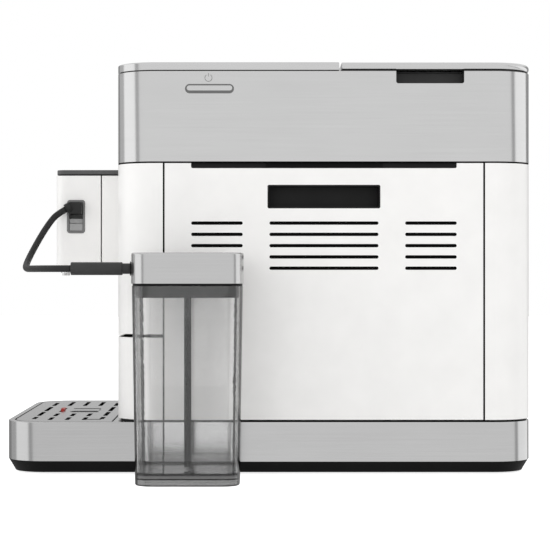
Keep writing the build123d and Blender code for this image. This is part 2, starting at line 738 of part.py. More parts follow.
with BuildPart() as bean_hopper:
    funnel(FUNNEL_LOW, DECK_TOP, 0.0)
    lip_x = HOPPER_L / 2 + HOPPER_LIP
    lip_y = HOPPER_W / 2 + HOPPER_LIP
    lip_top = DECK_TOP + HOPPER_LIP_T
    lip_depth = (HOPPER_Y - lip_y, HOPPER_Y + lip_y)
    block((-lip_x, lip_x), lip_depth, (DECK_TOP, lip_top), Mode.ADD, HOPPER_CORNER)
    rod(GRIND, (NECK_LOW, FUNNEL_LOW), NECK_R)
    funnel(FUNNEL_LOW + HOPPER_T, lip_top + OVER, HOPPER_T, Mode.SUBTRACT)
    rod(GRIND, (NECK_LOW - OVER, FUNNEL_LOW + HOPPER_T + OVER), NECK_R - NECK_T, Mode.SUBTRACT)
save(bean_hopper, "bean_hopper")

# Grinder: a housing on the bulkhead, a fixed upper burr, a lower burr on its gear, a motor and pinion
HOUSING_R = 34.0
HOUSING_T = 4.0
HOUSING_LAP = 4.0
HOUSING_H = 50.0
HOUSING_ROOF = 8.0
HOUSING_FLOOR = 6.0
SHAFT_R = 4.0
MODULE = 1.25
GEAR_TEETH = 36
PINION_TEETH = 12
GEAR_H = 8.0
GEAR_LIFT = 2.0
PINION_SHAFT_R = 2.5
MOTOR_R = 21.0
MOTOR_H = 66.0
MOTOR_NECK_R = 12.0
MOTOR_NECK_H = 4.0
LOBE_R = 13.0
LOBE_H = 18.0
BURR_LOW_R = 18.0
BURR_TOP_R = 10.0
BURR_H = 18.0
BURR_RIM_R = 29.8
BURR_RIM_H = 20.0
BURR_GAP = 2.0
BEARING_FIT = 0.05
HOUSING_TOP = NECK_LOW + HOUSING_LAP
HOUSING_LOW = HOUSING_TOP - HOUSING_H
GEAR_LOW = HOUSING_LOW + HOUSING_FLOOR + GEAR_LIFT
GEAR_TOP = GEAR_LOW + GEAR_H
PINION_OFF = MODULE * (GEAR_TEETH + PINION_TEETH) / 2
PINION = (GRIND_X, GRIND_Y - PINION_OFF)
CAVITY_TOP = HOUSING_TOP - HOUSING_ROOF
RIGHT_ANGLE = 90.0
ROOT_SHARE = 1.25
TOOTH_FOOT_SHARE = 0.30
TOOTH_TIP_SHARE = 0.12


def gear(centre, z, module, teeth, first, mode=Mode.ADD):
    """Toothed wheel whose first tooth points along an angle in degrees."""
    pitch_r = module * teeth / 2
    step = 2 * math.pi / teeth
    points = []
    for tooth in range(teeth):
        mid = math.radians(first) + tooth * step
        for radius, offset in (
            (pitch_r - ROOT_SHARE * module, -TOOTH_FOOT_SHARE * step),
            (pitch_r + module, -TOOTH_TIP_SHARE * step),
            (pitch_r + module, TOOTH_TIP_SHARE * step),
            (pitch_r - ROOT_SHARE * module, TOOTH_FOOT_SHARE * step),
        ):
            along = radius * math.cos(mid + offset)
            across = radius * math.sin(mid + offset)
            points.append((centre[0] + along, centre[1] + across))
    with BuildSketch(Plane.XY.offset(z[0])) as wheel:
        with BuildLine():
            Polyline(*points, close=True)
        make_face()
    extrude(wheel.sketch, amount=z[1] - z[0], mode=mode)


# Chute: a straight tube from the grinder's side down to the brew chamber's mouth
CHUTE_R = 8.0
CHUTE_BORE_R = 6.5
CHUTE_TOP_IN = 1.0
CHUTE_TOP_UP = 11.0
CHUTE_END_OUT = 7.7
CHAMBER_R = 23.0
CHAMBER_UP = 22.0
CHAMBER_H = 40.0
CHUTE_END_UP = 16.0
FRAME_LIFT = 1.2
FRAME_LOW = SLIT_TOP + FRAME_LIFT
CHAMBER_LOW = FRAME_LOW + CHAMBER_UP
CHAMBER_TOP = CHAMBER_LOW + CHAMBER_H
to_grinder = Vector(GRIND_X - BREW_X, GRIND_Y - BREW_Y).normalized()
chute_top_out = HOUSING_R - CHUTE_TOP_IN
chute_end_out = CHAMBER_R + CHUTE_END_OUT
CHUTE_START = (
    GRIND_X - chute_top_out * to_grinder.X,
    GRIND_Y - chute_top_out * to_grinder.Y,
    HOUSING_LOW + CHUTE_TOP_UP,
)
CHUTE_END = (
    BREW_X + chute_end_out * to_grinder.X,
    BREW_Y + chute_end_out * to_grinder.Y,
    CHAMBER_TOP + CHUTE_END_UP,
)

with BuildPart() as grinder_housing:
    rod(GRIND, (HOUSING_LOW, HOUSING_TOP), HOUSING_R)
    rod(PINION, (HOUSING_LOW, HOUSING_LOW + LOBE_H), LOBE_R)
    block(
        (GRIND_X - HOUSING_R / 2, GRIND_X + HOUSING_R / 2),
        (GRIND_Y + HOUSING_R / 2, BULK_FRONT - FIT),
        (HOUSING_LOW, HOUSING_TOP - HOUSING_ROOF),
    )
    rod(GRIND, (HOUSING_LOW + HOUSING_FLOOR, CAVITY_TOP), HOUSING_R - HOUSING_T, Mode.SUBTRACT)
    rod(
        PINION,
        (HOUSING_LOW + HOUSING_FLOOR, HOUSING_LOW + LOBE_H - HOUSING_T / 2),
        LOBE_R - HOUSING_T / 2,
        Mode.SUBTRACT,
    )
    rod(GRIND, (CAVITY_TOP - OVER, HOUSING_TOP + OVER), NECK_R + GAP, Mode.SUBTRACT)
    shaft_way = (HOUSING_LOW - OVER, HOUSING_LOW + HOUSING_FLOOR + OVER)
    rod(GRIND, shaft_way, SHAFT_R + BEARING_FIT, Mode.SUBTRACT)
    rod(PINION, (HOUSING_LOW - OVER, GEAR_LOW), PINION_SHAFT_R + BEARING_FIT, Mode.SUBTRACT)
    bar(CHUTE_START, CHUTE_END, CHUTE_R)
    uphill = (Vector(*CHUTE_START) - Vector(*CHUTE_END)).normalized()
    inside = Vector(*CHUTE_START) + uphill * HOUSING_T * 2
    below = Vector(*CHUTE_END) - uphill * OVER
    bar(tuple(inside), tuple(below), CHUTE_BORE_R, Mode.SUBTRACT)
save(grinder_housing, "grinder_housing")

with BuildPart() as upper_burr:
    rim_low = CAVITY_TOP - BURR_RIM_H
    rod(GRIND, (rim_low, CAVITY_TOP - FIT), BURR_RIM_R)
    with BuildSketch(Plane.XY.offset(rim_low - OVER)):
        with Locations(GRIND):
            Circle(BURR_LOW_R + BURR_GAP)
    with BuildSketch(Plane.XY.offset(CAVITY_TOP + OVER)):
        with Locations(GRIND):
            Circle(BURR_TOP_R + BURR_GAP)
    loft(mode=Mode.SUBTRACT)
save(upper_burr, "upper_burr")

with BuildPart() as burr_gear:
    gear(GRIND, (GEAR_LOW, GEAR_TOP), MODULE, GEAR_TEETH, -RIGHT_ANGLE)
    rod(GRIND, (HOUSING_LOW + FIT, GEAR_LOW), SHAFT_R)
save(burr_gear, "burr_gear")

with BuildPart() as lower_burr:
    with BuildSketch(Plane.XY.offset(GEAR_TOP)):
        with Locations(GRIND):
            Circle(BURR_LOW_R)
    with BuildSketch(Plane.XY.offset(GEAR_TOP + BURR_H)):
        with Locations(GRIND):
            Circle(BURR_TOP_R)
    loft()
save(lower_burr, "lower_burr")

with BuildPart() as grinder_motor:
    rod(PINION, (HOUSING_LOW - MOTOR_NECK_H, HOUSING_LOW - FIT), MOTOR_NECK_R)
    rod(PINION, (HOUSING_LOW - MOTOR_NECK_H - MOTOR_H, HOUSING_LOW - MOTOR_NECK_H), MOTOR_R)
    shaft_way = (HOUSING_LOW - MOTOR_H / 2, HOUSING_LOW + OVER)
    rod(PINION, shaft_way, PINION_SHAFT_R + BEARING_FIT, Mode.SUBTRACT)
save(grinder_motor, "grinder_motor")

with BuildPart() as grinder_pinion:
    gear(PINION, (GEAR_LOW, GEAR_TOP), MODULE, PINION_TEETH, RIGHT_ANGLE + RIGHT_ANGLE * 2 / PINION_TEETH)
    rod(PINION, (HOUSING_LOW - MOTOR_H / 4, GEAR_LOW), PINION_SHAFT_R)
save(grinder_pinion, "grinder_pinion")

# Brew unit: a frame on the bulkhead, a chamber that a spindle lifts against a fixed piston
FRAME_LEFT = 28.0
FRAME_RIGHT = 104.0
FRAME_AHEAD = 28.0
FRAME_PLATE = 5.0
FRAME_WALL = 4.0
FRAME_H = 105.0
ROOF_LEFT = 50.0
SPINDLE_BEHIND = 36.0
SPINDLE_R = 5.0
JOURNAL_R = 3.0
SPINDLE_FIT = 0.1
BREW_MODULE = 1.0
BREW_GEAR_H = 8.0
BREW_GEAR_LIFT = 1.0
SHELF_GAP = 1.0
SHELF_T = 3.0
BREW_MOTOR_R = 14.0
BREW_MOTOR_H = 50.0
BREW_SHAFT_R = 2.0
CHAMBER_BORE_R = 19.0
CHAMBER_FLOOR = 6.0
NUT_R = 9.5
NUT_H = 26.0
NUT_LIFT = 8.0
ARM_HALF = 6.0
ARM_H = 16.0
PISTON_R = 18.5
PISTON_H = 22.0
SEAL_H = 2.0
SEAL_UP = 3.0
NIPPLE_H = 7.0
PUCK_HOLE_R = 21.0
SPINDLE_Y = BREW_Y + SPINDLE_BEHIND
FRAME_FRONT = BREW_Y - FRAME_AHEAD
FRAME_TOP = FRAME_LOW + FRAME_H
FLOOR_TOP = FRAME_LOW + FRAME_PLATE
ROOF_LOW = FRAME_TOP - FRAME_PLATE
SPINDLE = (BREW_X, SPINDLE_Y)
BREW = (BREW_X, BREW_Y)
BREW_PINION = (BREW_X - BREW_MODULE * (GEAR_TEETH + PINION_TEETH) / 2, SPINDLE_Y)
BREW_GEAR_LOW = FLOOR_TOP + BREW_GEAR_LIFT
BREW_GEAR_TOP = BREW_GEAR_LOW + BREW_GEAR_H
SHELF_LOW = BREW_GEAR_TOP + SHELF_GAP
SHELF_TOP = SHELF_LOW + SHELF_T

with BuildPart() as brew_frame:
    wall_y = (BULK_FRONT - FIT - FRAME_WALL, BULK_FRONT - FIT)
    block((FRAME_LEFT, FRAME_RIGHT), (FRAME_FRONT, wall_y[1]), (FRAME_LOW, FLOOR_TOP))
    block((FRAME_LEFT, FRAME_RIGHT), wall_y, (FRAME_LOW, FRAME_TOP))
    block((ROOF_LEFT, FRAME_RIGHT), (FRAME_FRONT, wall_y[1]), (ROOF_LOW, FRAME_TOP))
    block(
        (BREW_PINION[0] - BREW_MOTOR_R, BREW_PINION[0] + BREW_MOTOR_R),
        (SPINDLE_Y - BREW_MOTOR_R, wall_y[1]),
        (SHELF_LOW, SHELF_TOP),
    )
    rod(BREW, (FRAME_LOW - OVER, FLOOR_TOP + OVER), PUCK_HOLE_R, Mode.SUBTRACT)
    rod(SPINDLE, (FRAME_LOW - OVER, FLOOR_TOP + OVER), JOURNAL_R + BEARING_FIT, Mode.SUBTRACT)
    rod(SPINDLE, (ROOF_LOW - OVER, FRAME_TOP + OVER), JOURNAL_R + BEARING_FIT, Mode.SUBTRACT)
    rod(BREW_PINION, (SHELF_LOW - OVER, SHELF_TOP + OVER), BREW_SHAFT_R + BEARING_FIT, Mode.SUBTRACT)
    for x in (BREW_X - NIPPLE_X, BREW_X + NIPPLE_X):
        rod((x, BREW_Y), (ROOF_LOW - OVER, FRAME_TOP + OVER), TUBE_R + FIT, Mode.SUBTRACT)
save(brew_frame, "brew_frame")

with BuildPart() as brew_motor:
    rod(BREW_PINION, (SHELF_TOP, SHELF_TOP + BREW_MOTOR_H), BREW_MOTOR_R)
    shaft_way = (SHELF_TOP - OVER, SHELF_TOP + BREW_MOTOR_R)
    rod(BREW_PINION, shaft_way, BREW_SHAFT_R + BEARING_FIT, Mode.SUBTRACT)
save(brew_motor, "brew_motor")

with BuildPart() as brew_pinion:
    half_step = RIGHT_ANGLE * 2 / PINION_TEETH
    gear(BREW_PINION, (BREW_GEAR_LOW, BREW_GEAR_TOP), BREW_MODULE, PINION_TEETH, half_step)
    rod(BREW_PINION, (BREW_GEAR_TOP, SHELF_TOP + BREW_MOTOR_R / 2), BREW_SHAFT_R)
save(brew_pinion, "brew_pinion")

with BuildPart() as brew_spindle:
    gear(SPINDLE, (BREW_GEAR_LOW, BREW_GEAR_TOP), BREW_MODULE, GEAR_TEETH, RIGHT_ANGLE * 2)
    rod(SPINDLE, (FLOOR_TOP + FIT, ROOF_LOW - FIT), SPINDLE_R)
    rod(SPINDLE, (FRAME_LOW + FIT, FRAME_TOP - FIT), JOURNAL_R)
save(brew_spindle, "brew_spindle")

with BuildPart() as brew_chamber:
    rod(BREW, (CHAMBER_LOW, CHAMBER_TOP), CHAMBER_R)
    block(
        (BREW_X - ARM_HALF, BREW_X + ARM_HALF),
        (BREW_Y, SPINDLE_Y),
        (CHAMBER_LOW + NUT_LIFT + ARM_HALF, CHAMBER_LOW + NUT_LIFT + ARM_HALF + ARM_H),
    )
    rod(SPINDLE, (CHAMBER_LOW + NUT_LIFT, CHAMBER_LOW + NUT_LIFT + NUT_H), NUT_R)
    rod(BREW, (CHAMBER_LOW + CHAMBER_FLOOR, CHAMBER_TOP + OVER), CHAMBER_BORE_R, Mode.SUBTRACT)
    rod(SPINDLE, (CHAMBER_LOW, CHAMBER_TOP), SPINDLE_R + SPINDLE_FIT, Mode.SUBTRACT)
save(brew_chamber, "brew_chamber")

with BuildPart() as brew_piston:
    piston_low = ROOF_LOW - PISTON_H
    rod(BREW, (piston_low, ROOF_LOW - FIT), PISTON_R)
    rod(BREW, (piston_low + SEAL_UP, piston_low + SEAL_UP + SEAL_H), CHAMBER_BORE_R - FIT)
    for x in (BREW_X - NIPPLE_X, BREW_X + NIPPLE_X):
        rod((x, BREW_Y), (ROOF_LOW - OVER, FRAME_TOP + NIPPLE_H), TUBE_R)
save(brew_piston, "brew_piston")

# Water pump on two saddles, thermoblock on the bulkhead and the control board on the left wall
PUMP_R = 17.0
PUMP_BEHIND = 66.0
PUMP_UP = 36.0
PUMP_LEFT = -70.0
PUMP_L = 120.0
PUMP_END_R = 8.0
PUMP_END_L = 14.0
SADDLE_IN = 14.0
SADDLE_T = 8.0
SADDLE_HALF = 15.0
PUMP_Y = BULK_BACK + PUMP_BEHIND
PUMP_Z = PAN_TOP + PUMP_UP
PUMP_RIGHT = PUMP_LEFT + PUMP_L

with BuildPart() as water_pump:
    bar((PUMP_LEFT, PUMP_Y, PUMP_Z), (PUMP_RIGHT, PUMP_Y, PUMP_Z), PUMP_R)
    bar(
        (PUMP_LEFT - PUMP_END_L, PUMP_Y, PUMP_Z),
        (PUMP_RIGHT + PUMP_END_L, PUMP_Y, PUMP_Z),
        PUMP_END_R,
    )
    for x in (PUMP_LEFT + SADDLE_IN, PUMP_RIGHT - SADDLE_IN - SADDLE_T):
        block((x, x + SADDLE_T), (PUMP_Y - SADDLE_HALF, PUMP_Y + SADDLE_HALF), (PAN_TOP, PUMP_Z))
save(water_pump, "water_pump")

THERMO_SIDE_IN = 25.0
THERMO_W = 60.0
THERMO_DEPTH = 42.0
THERMO_LOW = 120.0
THERMO_H = 90.0
THERMO_FINS = 6
FIN_GAP = 6.0
FIN_DEPTH = 8.0
THERMO_LEFT = -SIDE + THERMO_SIDE_IN

with BuildPart() as thermoblock:
    thermo_y = (BULK_BACK + FIT, BULK_BACK + FIT + THERMO_DEPTH)
    block((THERMO_LEFT, THERMO_LEFT + THERMO_W), thermo_y, (THERMO_LOW, THERMO_LOW + THERMO_H))
    fin_pitch = THERMO_H / THERMO_FINS
    for fin in range(THERMO_FINS):
        fin_low = THERMO_LOW + fin_pitch * fin + (fin_pitch - FIN_GAP) / 2
        block(
            (THERMO_LEFT - OVER, THERMO_LEFT + THERMO_W + OVER),
            (thermo_y[1] - FIN_DEPTH, thermo_y[1] + OVER),
            (fin_low, fin_low + FIN_GAP),
            Mode.SUBTRACT,
        )
save(thermoblock, "thermoblock")

BOARD_T = 1.6
BOARD_REAR_IN = 35.0
BOARD_L = 110.0
BOARD_LOW = 90.0
BOARD_H = 110.0
BOARD_STAND = 6.0
STANDOFF_R = 3.0
STANDOFF_IN = 10.0
CHIPS = 3
CHIP_L = 22.0
CHIP_H = 16.0
CHIP_T = 9.0
BOARD_FRONT = REAR - BOARD_REAR_IN - BOARD_L

with BuildPart() as control_board:
    stand_x = -CARCASS_INNER + FIT
    board_x = (stand_x + BOARD_STAND, stand_x + BOARD_STAND + BOARD_T)
    block(board_x, (BOARD_FRONT, BOARD_FRONT + BOARD_L), (BOARD_LOW, BOARD_LOW + BOARD_H))
    for y in (BOARD_FRONT + STANDOFF_IN, BOARD_FRONT + BOARD_L - STANDOFF_IN):
        for z in (BOARD_LOW + STANDOFF_IN, BOARD_LOW + BOARD_H - STANDOFF_IN):
            bar((stand_x, y, z), (board_x[0], y, z), STANDOFF_R)
    for chip in range(CHIPS):
        chip_y = BOARD_FRONT + STANDOFF_IN + chip * (CHIP_L + STANDOFF_IN)
        chip_z = BOARD_LOW + STANDOFF_IN + chip * (CHIP_H + STANDOFF_IN)
        block((board_x[1], board_x[1] + CHIP_T), (chip_y, chip_y + CHIP_L), (chip_z, chip_z + CHIP_H))
save(control_board, "control_board")

# Tank seat: closes the carcass under the tank and holds the valve's socket
SEAT_T = 2.5
SEAT_IN = 4.4
SEAT_RIB = 4.3
SEAT_RIB_T = 3.0
SEAT_RIB_X = 80.0
SOCKET_R = 14.0
SPIGOT_R = 7.7
SPIGOT_BORE_R = 4.0
SPIGOT_DROP = 6.0
TANK_SIDE_IN = 21.0
TANK_FRONT_IN = 3.6
TANK_REAR_IN = 12.0
TANK_T = 2.2
TANK_CORNER = 12.0
TANK_X = SIDE - TANK_SIDE_IN
SEAT_LOW = CARCASS_TOP
SEAT_TOP = SEAT_LOW + SEAT_T
TANK_LOW = SEAT_TOP + SEAT_RIB + FIT
BAY_FRONT = SPLIT_BACK + GAP + BAY_WALL_T
TANK_Y = (BAY_FRONT + TANK_FRONT_IN, REAR - TANK_REAR_IN)
VALVE_Y = (TANK_Y[0] + TANK_Y[1]) / 2
VALVE = (0, VALVE_Y)

with BuildPart() as tank_seat:
    plan_plate(SEAT_LOW, SEAT_TOP, BODY_FRONT, REAR, SEAT_IN, (BAY_FRONT + GAP, REAR))
    for x in (-SEAT_RIB_X, SEAT_RIB_X):
        block((x - SEAT_RIB_T / 2, x + SEAT_RIB_T / 2), TANK_Y, (SEAT_TOP, SEAT_TOP + SEAT_RIB))
    rod(VALVE, (SEAT_LOW - SPIGOT_DROP, SEAT_TOP + SEAT_RIB), SOCKET_R)
    socket_z = (SEAT_LOW - SPIGOT_DROP / 2, SEAT_TOP + SEAT_RIB + OVER)
    rod(VALVE, socket_z, SPIGOT_R + SLIDE_GAP, Mode.SUBTRACT)
    rod(VALVE, (SEAT_LOW - SPIGOT_DROP - OVER, SEAT_TOP), SPIGOT_BORE_R, Mode.SUBTRACT)
save(tank_seat, "tank_seat")

FLOW_R = 13.0
FLOW_H = 20.0
FLOW_X = 60.0
FLOW_Y = VALVE_Y

with BuildPart() as flow_meter:
    rod((FLOW_X, FLOW_Y), (SEAT_LOW - FIT - FLOW_H, SEAT_LOW - FIT), FLOW_R)
save(flow_meter, "flow_meter")

# Fixed hoses: valve to flow meter, to pump, to thermoblock, to brew unit, and the coffee's feed pipe
TUBE_BEND = 12.0
TUBE_MEET = 0.1
TUBE_DROP = 18.0
FLOW_TUBE_IN = 6.0
COFFEE_HOSE_AHEAD = 50.0
COFFEE_HOSE_Y = BREW_Y - COFFEE_HOSE_AHEAD
THERMO_INLET_X = THERMO_LEFT + THERMO_W / 2
THERMO_BACK = BULK_BACK + FIT + THERMO_DEPTH


def tube(points):
    """Hose along straight runs joined by equal bends."""
    with BuildLine() as route:
        FilletPolyline(*points, radius=TUBE_BEND)
    with BuildSketch(Plane(origin=route.line @ 0, z_dir=route.line % 0)) as section:
        Circle(TUBE_R)
    sweep(section.sketch, path=route.wires()[0])


with BuildPart() as water_hoses:
    valve_low = SEAT_LOW - SPIGOT_DROP - TUBE_MEET
    flow_low = SEAT_LOW - FLOW_H - FIT - TUBE_MEET
    loop_z = flow_low - TUBE_DROP
    tube(
        [
            (0, VALVE_Y, valve_low),
            (0, VALVE_Y, loop_z),
            (FLOW_X - FLOW_TUBE_IN, VALVE_Y, loop_z),
            (FLOW_X - FLOW_TUBE_IN, FLOW_Y, flow_low),
        ]
    )
    pump_out = PUMP_RIGHT + PUMP_END_L + TUBE_MEET
    feed_x = FLOW_X + FLOW_TUBE_IN
    tube(
        [
            (feed_x, FLOW_Y, flow_low),
            (feed_x, FLOW_Y, PUMP_Z),
            (pump_out + 2 * TUBE_BEND, FLOW_Y, PUMP_Z),
            (pump_out + 2 * TUBE_BEND, PUMP_Y, PUMP_Z),
            (pump_out, PUMP_Y, PUMP_Z),
        ]
    )
    pump_in = PUMP_LEFT - PUMP_END_L - TUBE_MEET
    thermo_z = THERMO_LOW + THERMO_H / 2
    tube(
        [
            (pump_in, PUMP_Y, PUMP_Z),
            (pump_in - TUBE_DROP, PUMP_Y, PUMP_Z),
            (pump_in - TUBE_DROP, PUMP_Y, thermo_z),
            (THERMO_INLET_X, PUMP_Y, thermo_z),
            (THERMO_INLET_X, THERMO_BACK + TUBE_MEET, thermo_z),
        ]
    )
    thermo_y = THERMO_BACK - THERMO_DEPTH / 2
    nipple_top = FRAME_TOP + NIPPLE_H + TUBE_MEET
    tube(
        [
            (THERMO_INLET_X, thermo_y, THERMO_LOW + THERMO_H + TUBE_MEET),
            (THERMO_INLET_X, thermo_y, HOT_HOSE_Z),
            (BREW_X + NIPPLE_X, thermo_y, HOT_HOSE_Z),
            (BREW_X + NIPPLE_X, BREW_Y, HOT_HOSE_Z),
            (BREW_X + NIPPLE_X, BREW_Y, nipple_top),
        ]
    )
    tube(
        [
            (BREW_X - NIPPLE_X, BREW_Y, nipple_top),
            (BREW_X - NIPPLE_X, BREW_Y, HOT_HOSE_Z),
            (BREW_X - NIPPLE_X, COFFEE_HOSE_Y, HOT_HOSE_Z),
            (BREW_X - NIPPLE_X, COFFEE_HOSE_Y, FEED_Z),
            (0, COFFEE_HOSE_Y, FEED_Z),
            (0, FEED_IN + TUBE_MEET, FEED_Z),
        ]
    )
    bar((0, FEED_IN, FEED_Z), (0, FEED_OUT, FEED_Z), FEED_R)
    bar((0, FEED_IN, FEED_Z), (0, FEED_OUT, FEED_Z), FEED_BORE_R, Mode.SUBTRACT)
save(water_hoses, "water_hoses")

# Water tank with its rim; the rim's flange lies on the band and carries the lid's hinge
RIM_IN = 0.8
RIM_T = 0.9
RIM_COLLAR_H = 8.0
RIM_COLLAR_T = 1.5
EAR_W = 8.0
EAR_R = 2.7
EAR_PIN_R = 1.2
EAR_FRONT_IN = 29.3
EAR_REAR_IN = 45.0
HINGE_PIN_REACH = 5.0
EAR_FRONT = SPLIT_BACK + EAR_FRONT_IN
EAR_BACK = REAR - EAR_REAR_IN
HINGE_X = -SIDE + LID_T / 2
RIM_LOW = BAND_TOP + FIT
RIM_TOP = RIM_LOW + RIM_T

with BuildPart() as water_tank:
    block((-TANK_X, TANK_X), TANK_Y, (TANK_LOW, BAND_TOP), Mode.ADD, TANK_CORNER)
    rod(VALVE, (TANK_LOW - SPIGOT_DROP, TANK_LOW), SPIGOT_R)
    block(
        (-TANK_X + TANK_T, TANK_X - TANK_T),
        (TANK_Y[0] + TANK_T, TANK_Y[1] - TANK_T),
        (TANK_LOW + TANK_T, BAND_TOP + OVER),
        Mode.SUBTRACT,
        TANK_CORNER - TANK_T,
    )
    rod(VALVE, (TANK_LOW - SPIGOT_DROP - OVER, TANK_LOW + TANK_T + OVER), SPIGOT_BORE_R, Mode.SUBTRACT)
save(water_tank, "water_tank")

with BuildPart() as tank_rim:
    plan_plate(RIM_LOW, RIM_TOP, BODY_FRONT, REAR, RIM_IN, (SPLIT_BACK + RIM_IN, REAR))
    collar_x = TANK_X - TANK_T - FIT
    collar_y = (TANK_Y[0] + TANK_T + FIT, TANK_Y[1] - TANK_T - FIT)
    collar_corner = TANK_CORNER - TANK_T - FIT
    block((-collar_x, collar_x), collar_y, (RIM_LOW - RIM_COLLAR_H, RIM_LOW), Mode.ADD, collar_corner)
    block(
        (-collar_x + RIM_COLLAR_T, collar_x - RIM_COLLAR_T),
        (collar_y[0] + RIM_COLLAR_T, collar_y[1] - RIM_COLLAR_T),
        (RIM_LOW - RIM_COLLAR_H - OVER, RIM_TOP + OVER),
        Mode.SUBTRACT,
        collar_corner - RIM_COLLAR_T,
    )
    for y in (EAR_FRONT, EAR_BACK):
        bar((HINGE_X, y - EAR_W / 2, PIVOT_Z), (HINGE_X, y + EAR_W / 2, PIVOT_Z), EAR_R)
        block((HINGE_X - EAR_R, HINGE_X + EAR_R), (y - EAR_W / 2, y + EAR_W / 2), (RIM_LOW, PIVOT_Z))
        reach = EAR_W / 2 + HINGE_PIN_REACH
        bar((HINGE_X, y - reach, PIVOT_Z), (HINGE_X, y + reach, PIVOT_Z), EAR_PIN_R)
    block(
        (SIDE - STEEL_T - NOTCH_DEPTH, SIDE),
        (NOTCH_FRONT, NOTCH_BACK),
        (RIM_LOW - OVER, RIM_TOP + OVER),
        Mode.SUBTRACT,
    )
save(tank_rim, "tank_rim")

# Tank lid: its left edge is rounded about the hinge, so it turns without meeting the rim
HINGE_BAR = 9.0
HINGE_ROUND = LID_T / 2 - FIT
EAR_CLEAR = 0.3
CORNER_SIDE_SHARE = 0.7

with BuildPart() as tank_lid:
    plan_plate(LID_LOW, TOP, BODY_FRONT, REAR, 0, (SPLIT_BACK, REAR + OVER))
    left_edges = [
        edge
        for face in (tank_lid.faces().sort_by(Axis.Z)[-1], tank_lid.faces().sort_by(Axis.Z)[0])
        for edge in face.outer_wire().edges()
        if edge.center().X < -SIDE * CORNER_SIDE_SHARE
    ]
    fillet(left_edges, HINGE_ROUND)
    top_edges = [
        edge
        for edge in tank_lid.faces().sort_by(Axis.Z)[-1].outer_wire().edges()
        if edge.center().X > -SIDE + HINGE_BAR
    ]
    fillet(top_edges, COVER_EDGE)
    plan_plate(
        LID_LOW - OVER,
        TOP - COVER_T,
        BODY_FRONT,
        REAR,
        HINGE_BAR,
        (SPLIT_BACK + COVER_WALL, REAR - HINGE_BAR),
        Mode.SUBTRACT,
    )
    for y in (EAR_FRONT, EAR_BACK):
        block(
            (-SIDE - OVER, HINGE_X + EAR_R + 2 * EAR_CLEAR),
            (y - EAR_W / 2 - EAR_CLEAR, y + EAR_W / 2 + EAR_CLEAR),
            (LID_LOW - OVER, TOP + OVER),
            Mode.SUBTRACT,
        )
        reach = EAR_W / 2 + HINGE_PIN_REACH + FIT
        hole_r = EAR_PIN_R + PIN_FIT
        bar((HINGE_X, y - reach, PIVOT_Z), (HINGE_X, y + reach, PIVOT_Z), hole_r, Mode.SUBTRACT)
save(tank_lid, "tank_lid")

# Drip drawer: the front piece of the base band with its top plate, the tray and the white front
DRAWER_LOW = PLINTH_TOP + 2 * GAP
PLATE_T = 1.5
RIM_W = 5.6
GRILLE_GAP = 1.4
GRILLE_SET = 2.6
WALL_TUCK = 0.3
TRAY_T = 2.0
TRAY_IN = STEEL_T + WALL_TUCK
FRAME_IN = PANEL_T + 2 * GAP + FIT
TRAY_LOW = DRAWER_LOW + GAP
TRAY_FLOOR = TRAY_LOW + TRAY_T
BASIN_TOP = BASE_TOP - PLATE_T - TRAY_T
TAIL_WALL_H = 26.0
POST_R = 4.0
POST_X = 95.0
POST_FRONT_IN = 27.0
POST_BACK_AHEAD = 21.0
FLOAT_X = 25.0
ROW_FRONT_IN = 22.9
ROW_BACK_AHEAD = 15.38
ROW_STEPS = 4
TOWER_R = 6.0
TOWER_DROP = 14.5
STEM_R = 3.0
GRILLE_BACK = BODY_FRONT - GRILLE_SET
POST_FRONT = TRAY_FRONT + POST_FRONT_IN
POST_BACK = BODY_FRONT - POST_BACK_AHEAD
ROW_FRONT = TRAY_FRONT + ROW_FRONT_IN
ROW_PITCH = (BODY_FRONT - ROW_BACK_AHEAD - ROW_FRONT) / ROW_STEPS
FLOAT_Y = ROW_FRONT + ROW_PITCH
TOWER_TOP = BASE_TOP - TOWER_DROP
FRAME_TOP_Z = SLIT_LOW - 2 * GAP

with BuildPart() as tray_band:
    plan_wall(DRAWER_LOW, BASE_TOP, TRAY_FRONT, REAR, 0, STEEL_T, (TRAY_FRONT - OVER, WRAP_END))
    plan_plate(BASE_TOP - PLATE_T, BASE_TOP, TRAY_FRONT, REAR, 0, (TRAY_FRONT - OVER, WRAP_END))
    hidden_in = FRAME_IN - GAP
    plan_plate(
        BASE_TOP - PLATE_T - OVER,
        BASE_TOP + OVER,
        BODY_FRONT,
        REAR,
        hidden_in,
        (BODY_FRONT, WRAP_END + OVER),
        Mode.SUBTRACT,
    )
    plan_plate(
        BASE_TOP - PLATE_T - OVER,
        BASE_TOP + OVER,
        TRAY_FRONT,
        REAR,
        RIM_W,
        (TRAY_FRONT, GRILLE_BACK),
        Mode.SUBTRACT,
    )
    rim_edges = tray_band.faces().sort_by(Axis.Z)[-1].outer_wire().edges()
    fillet([edge for edge in rim_edges if edge.center().Y < WRAP_END - EASE and edge.length > CORNER], EASE)
save(tray_band, "tray_band")

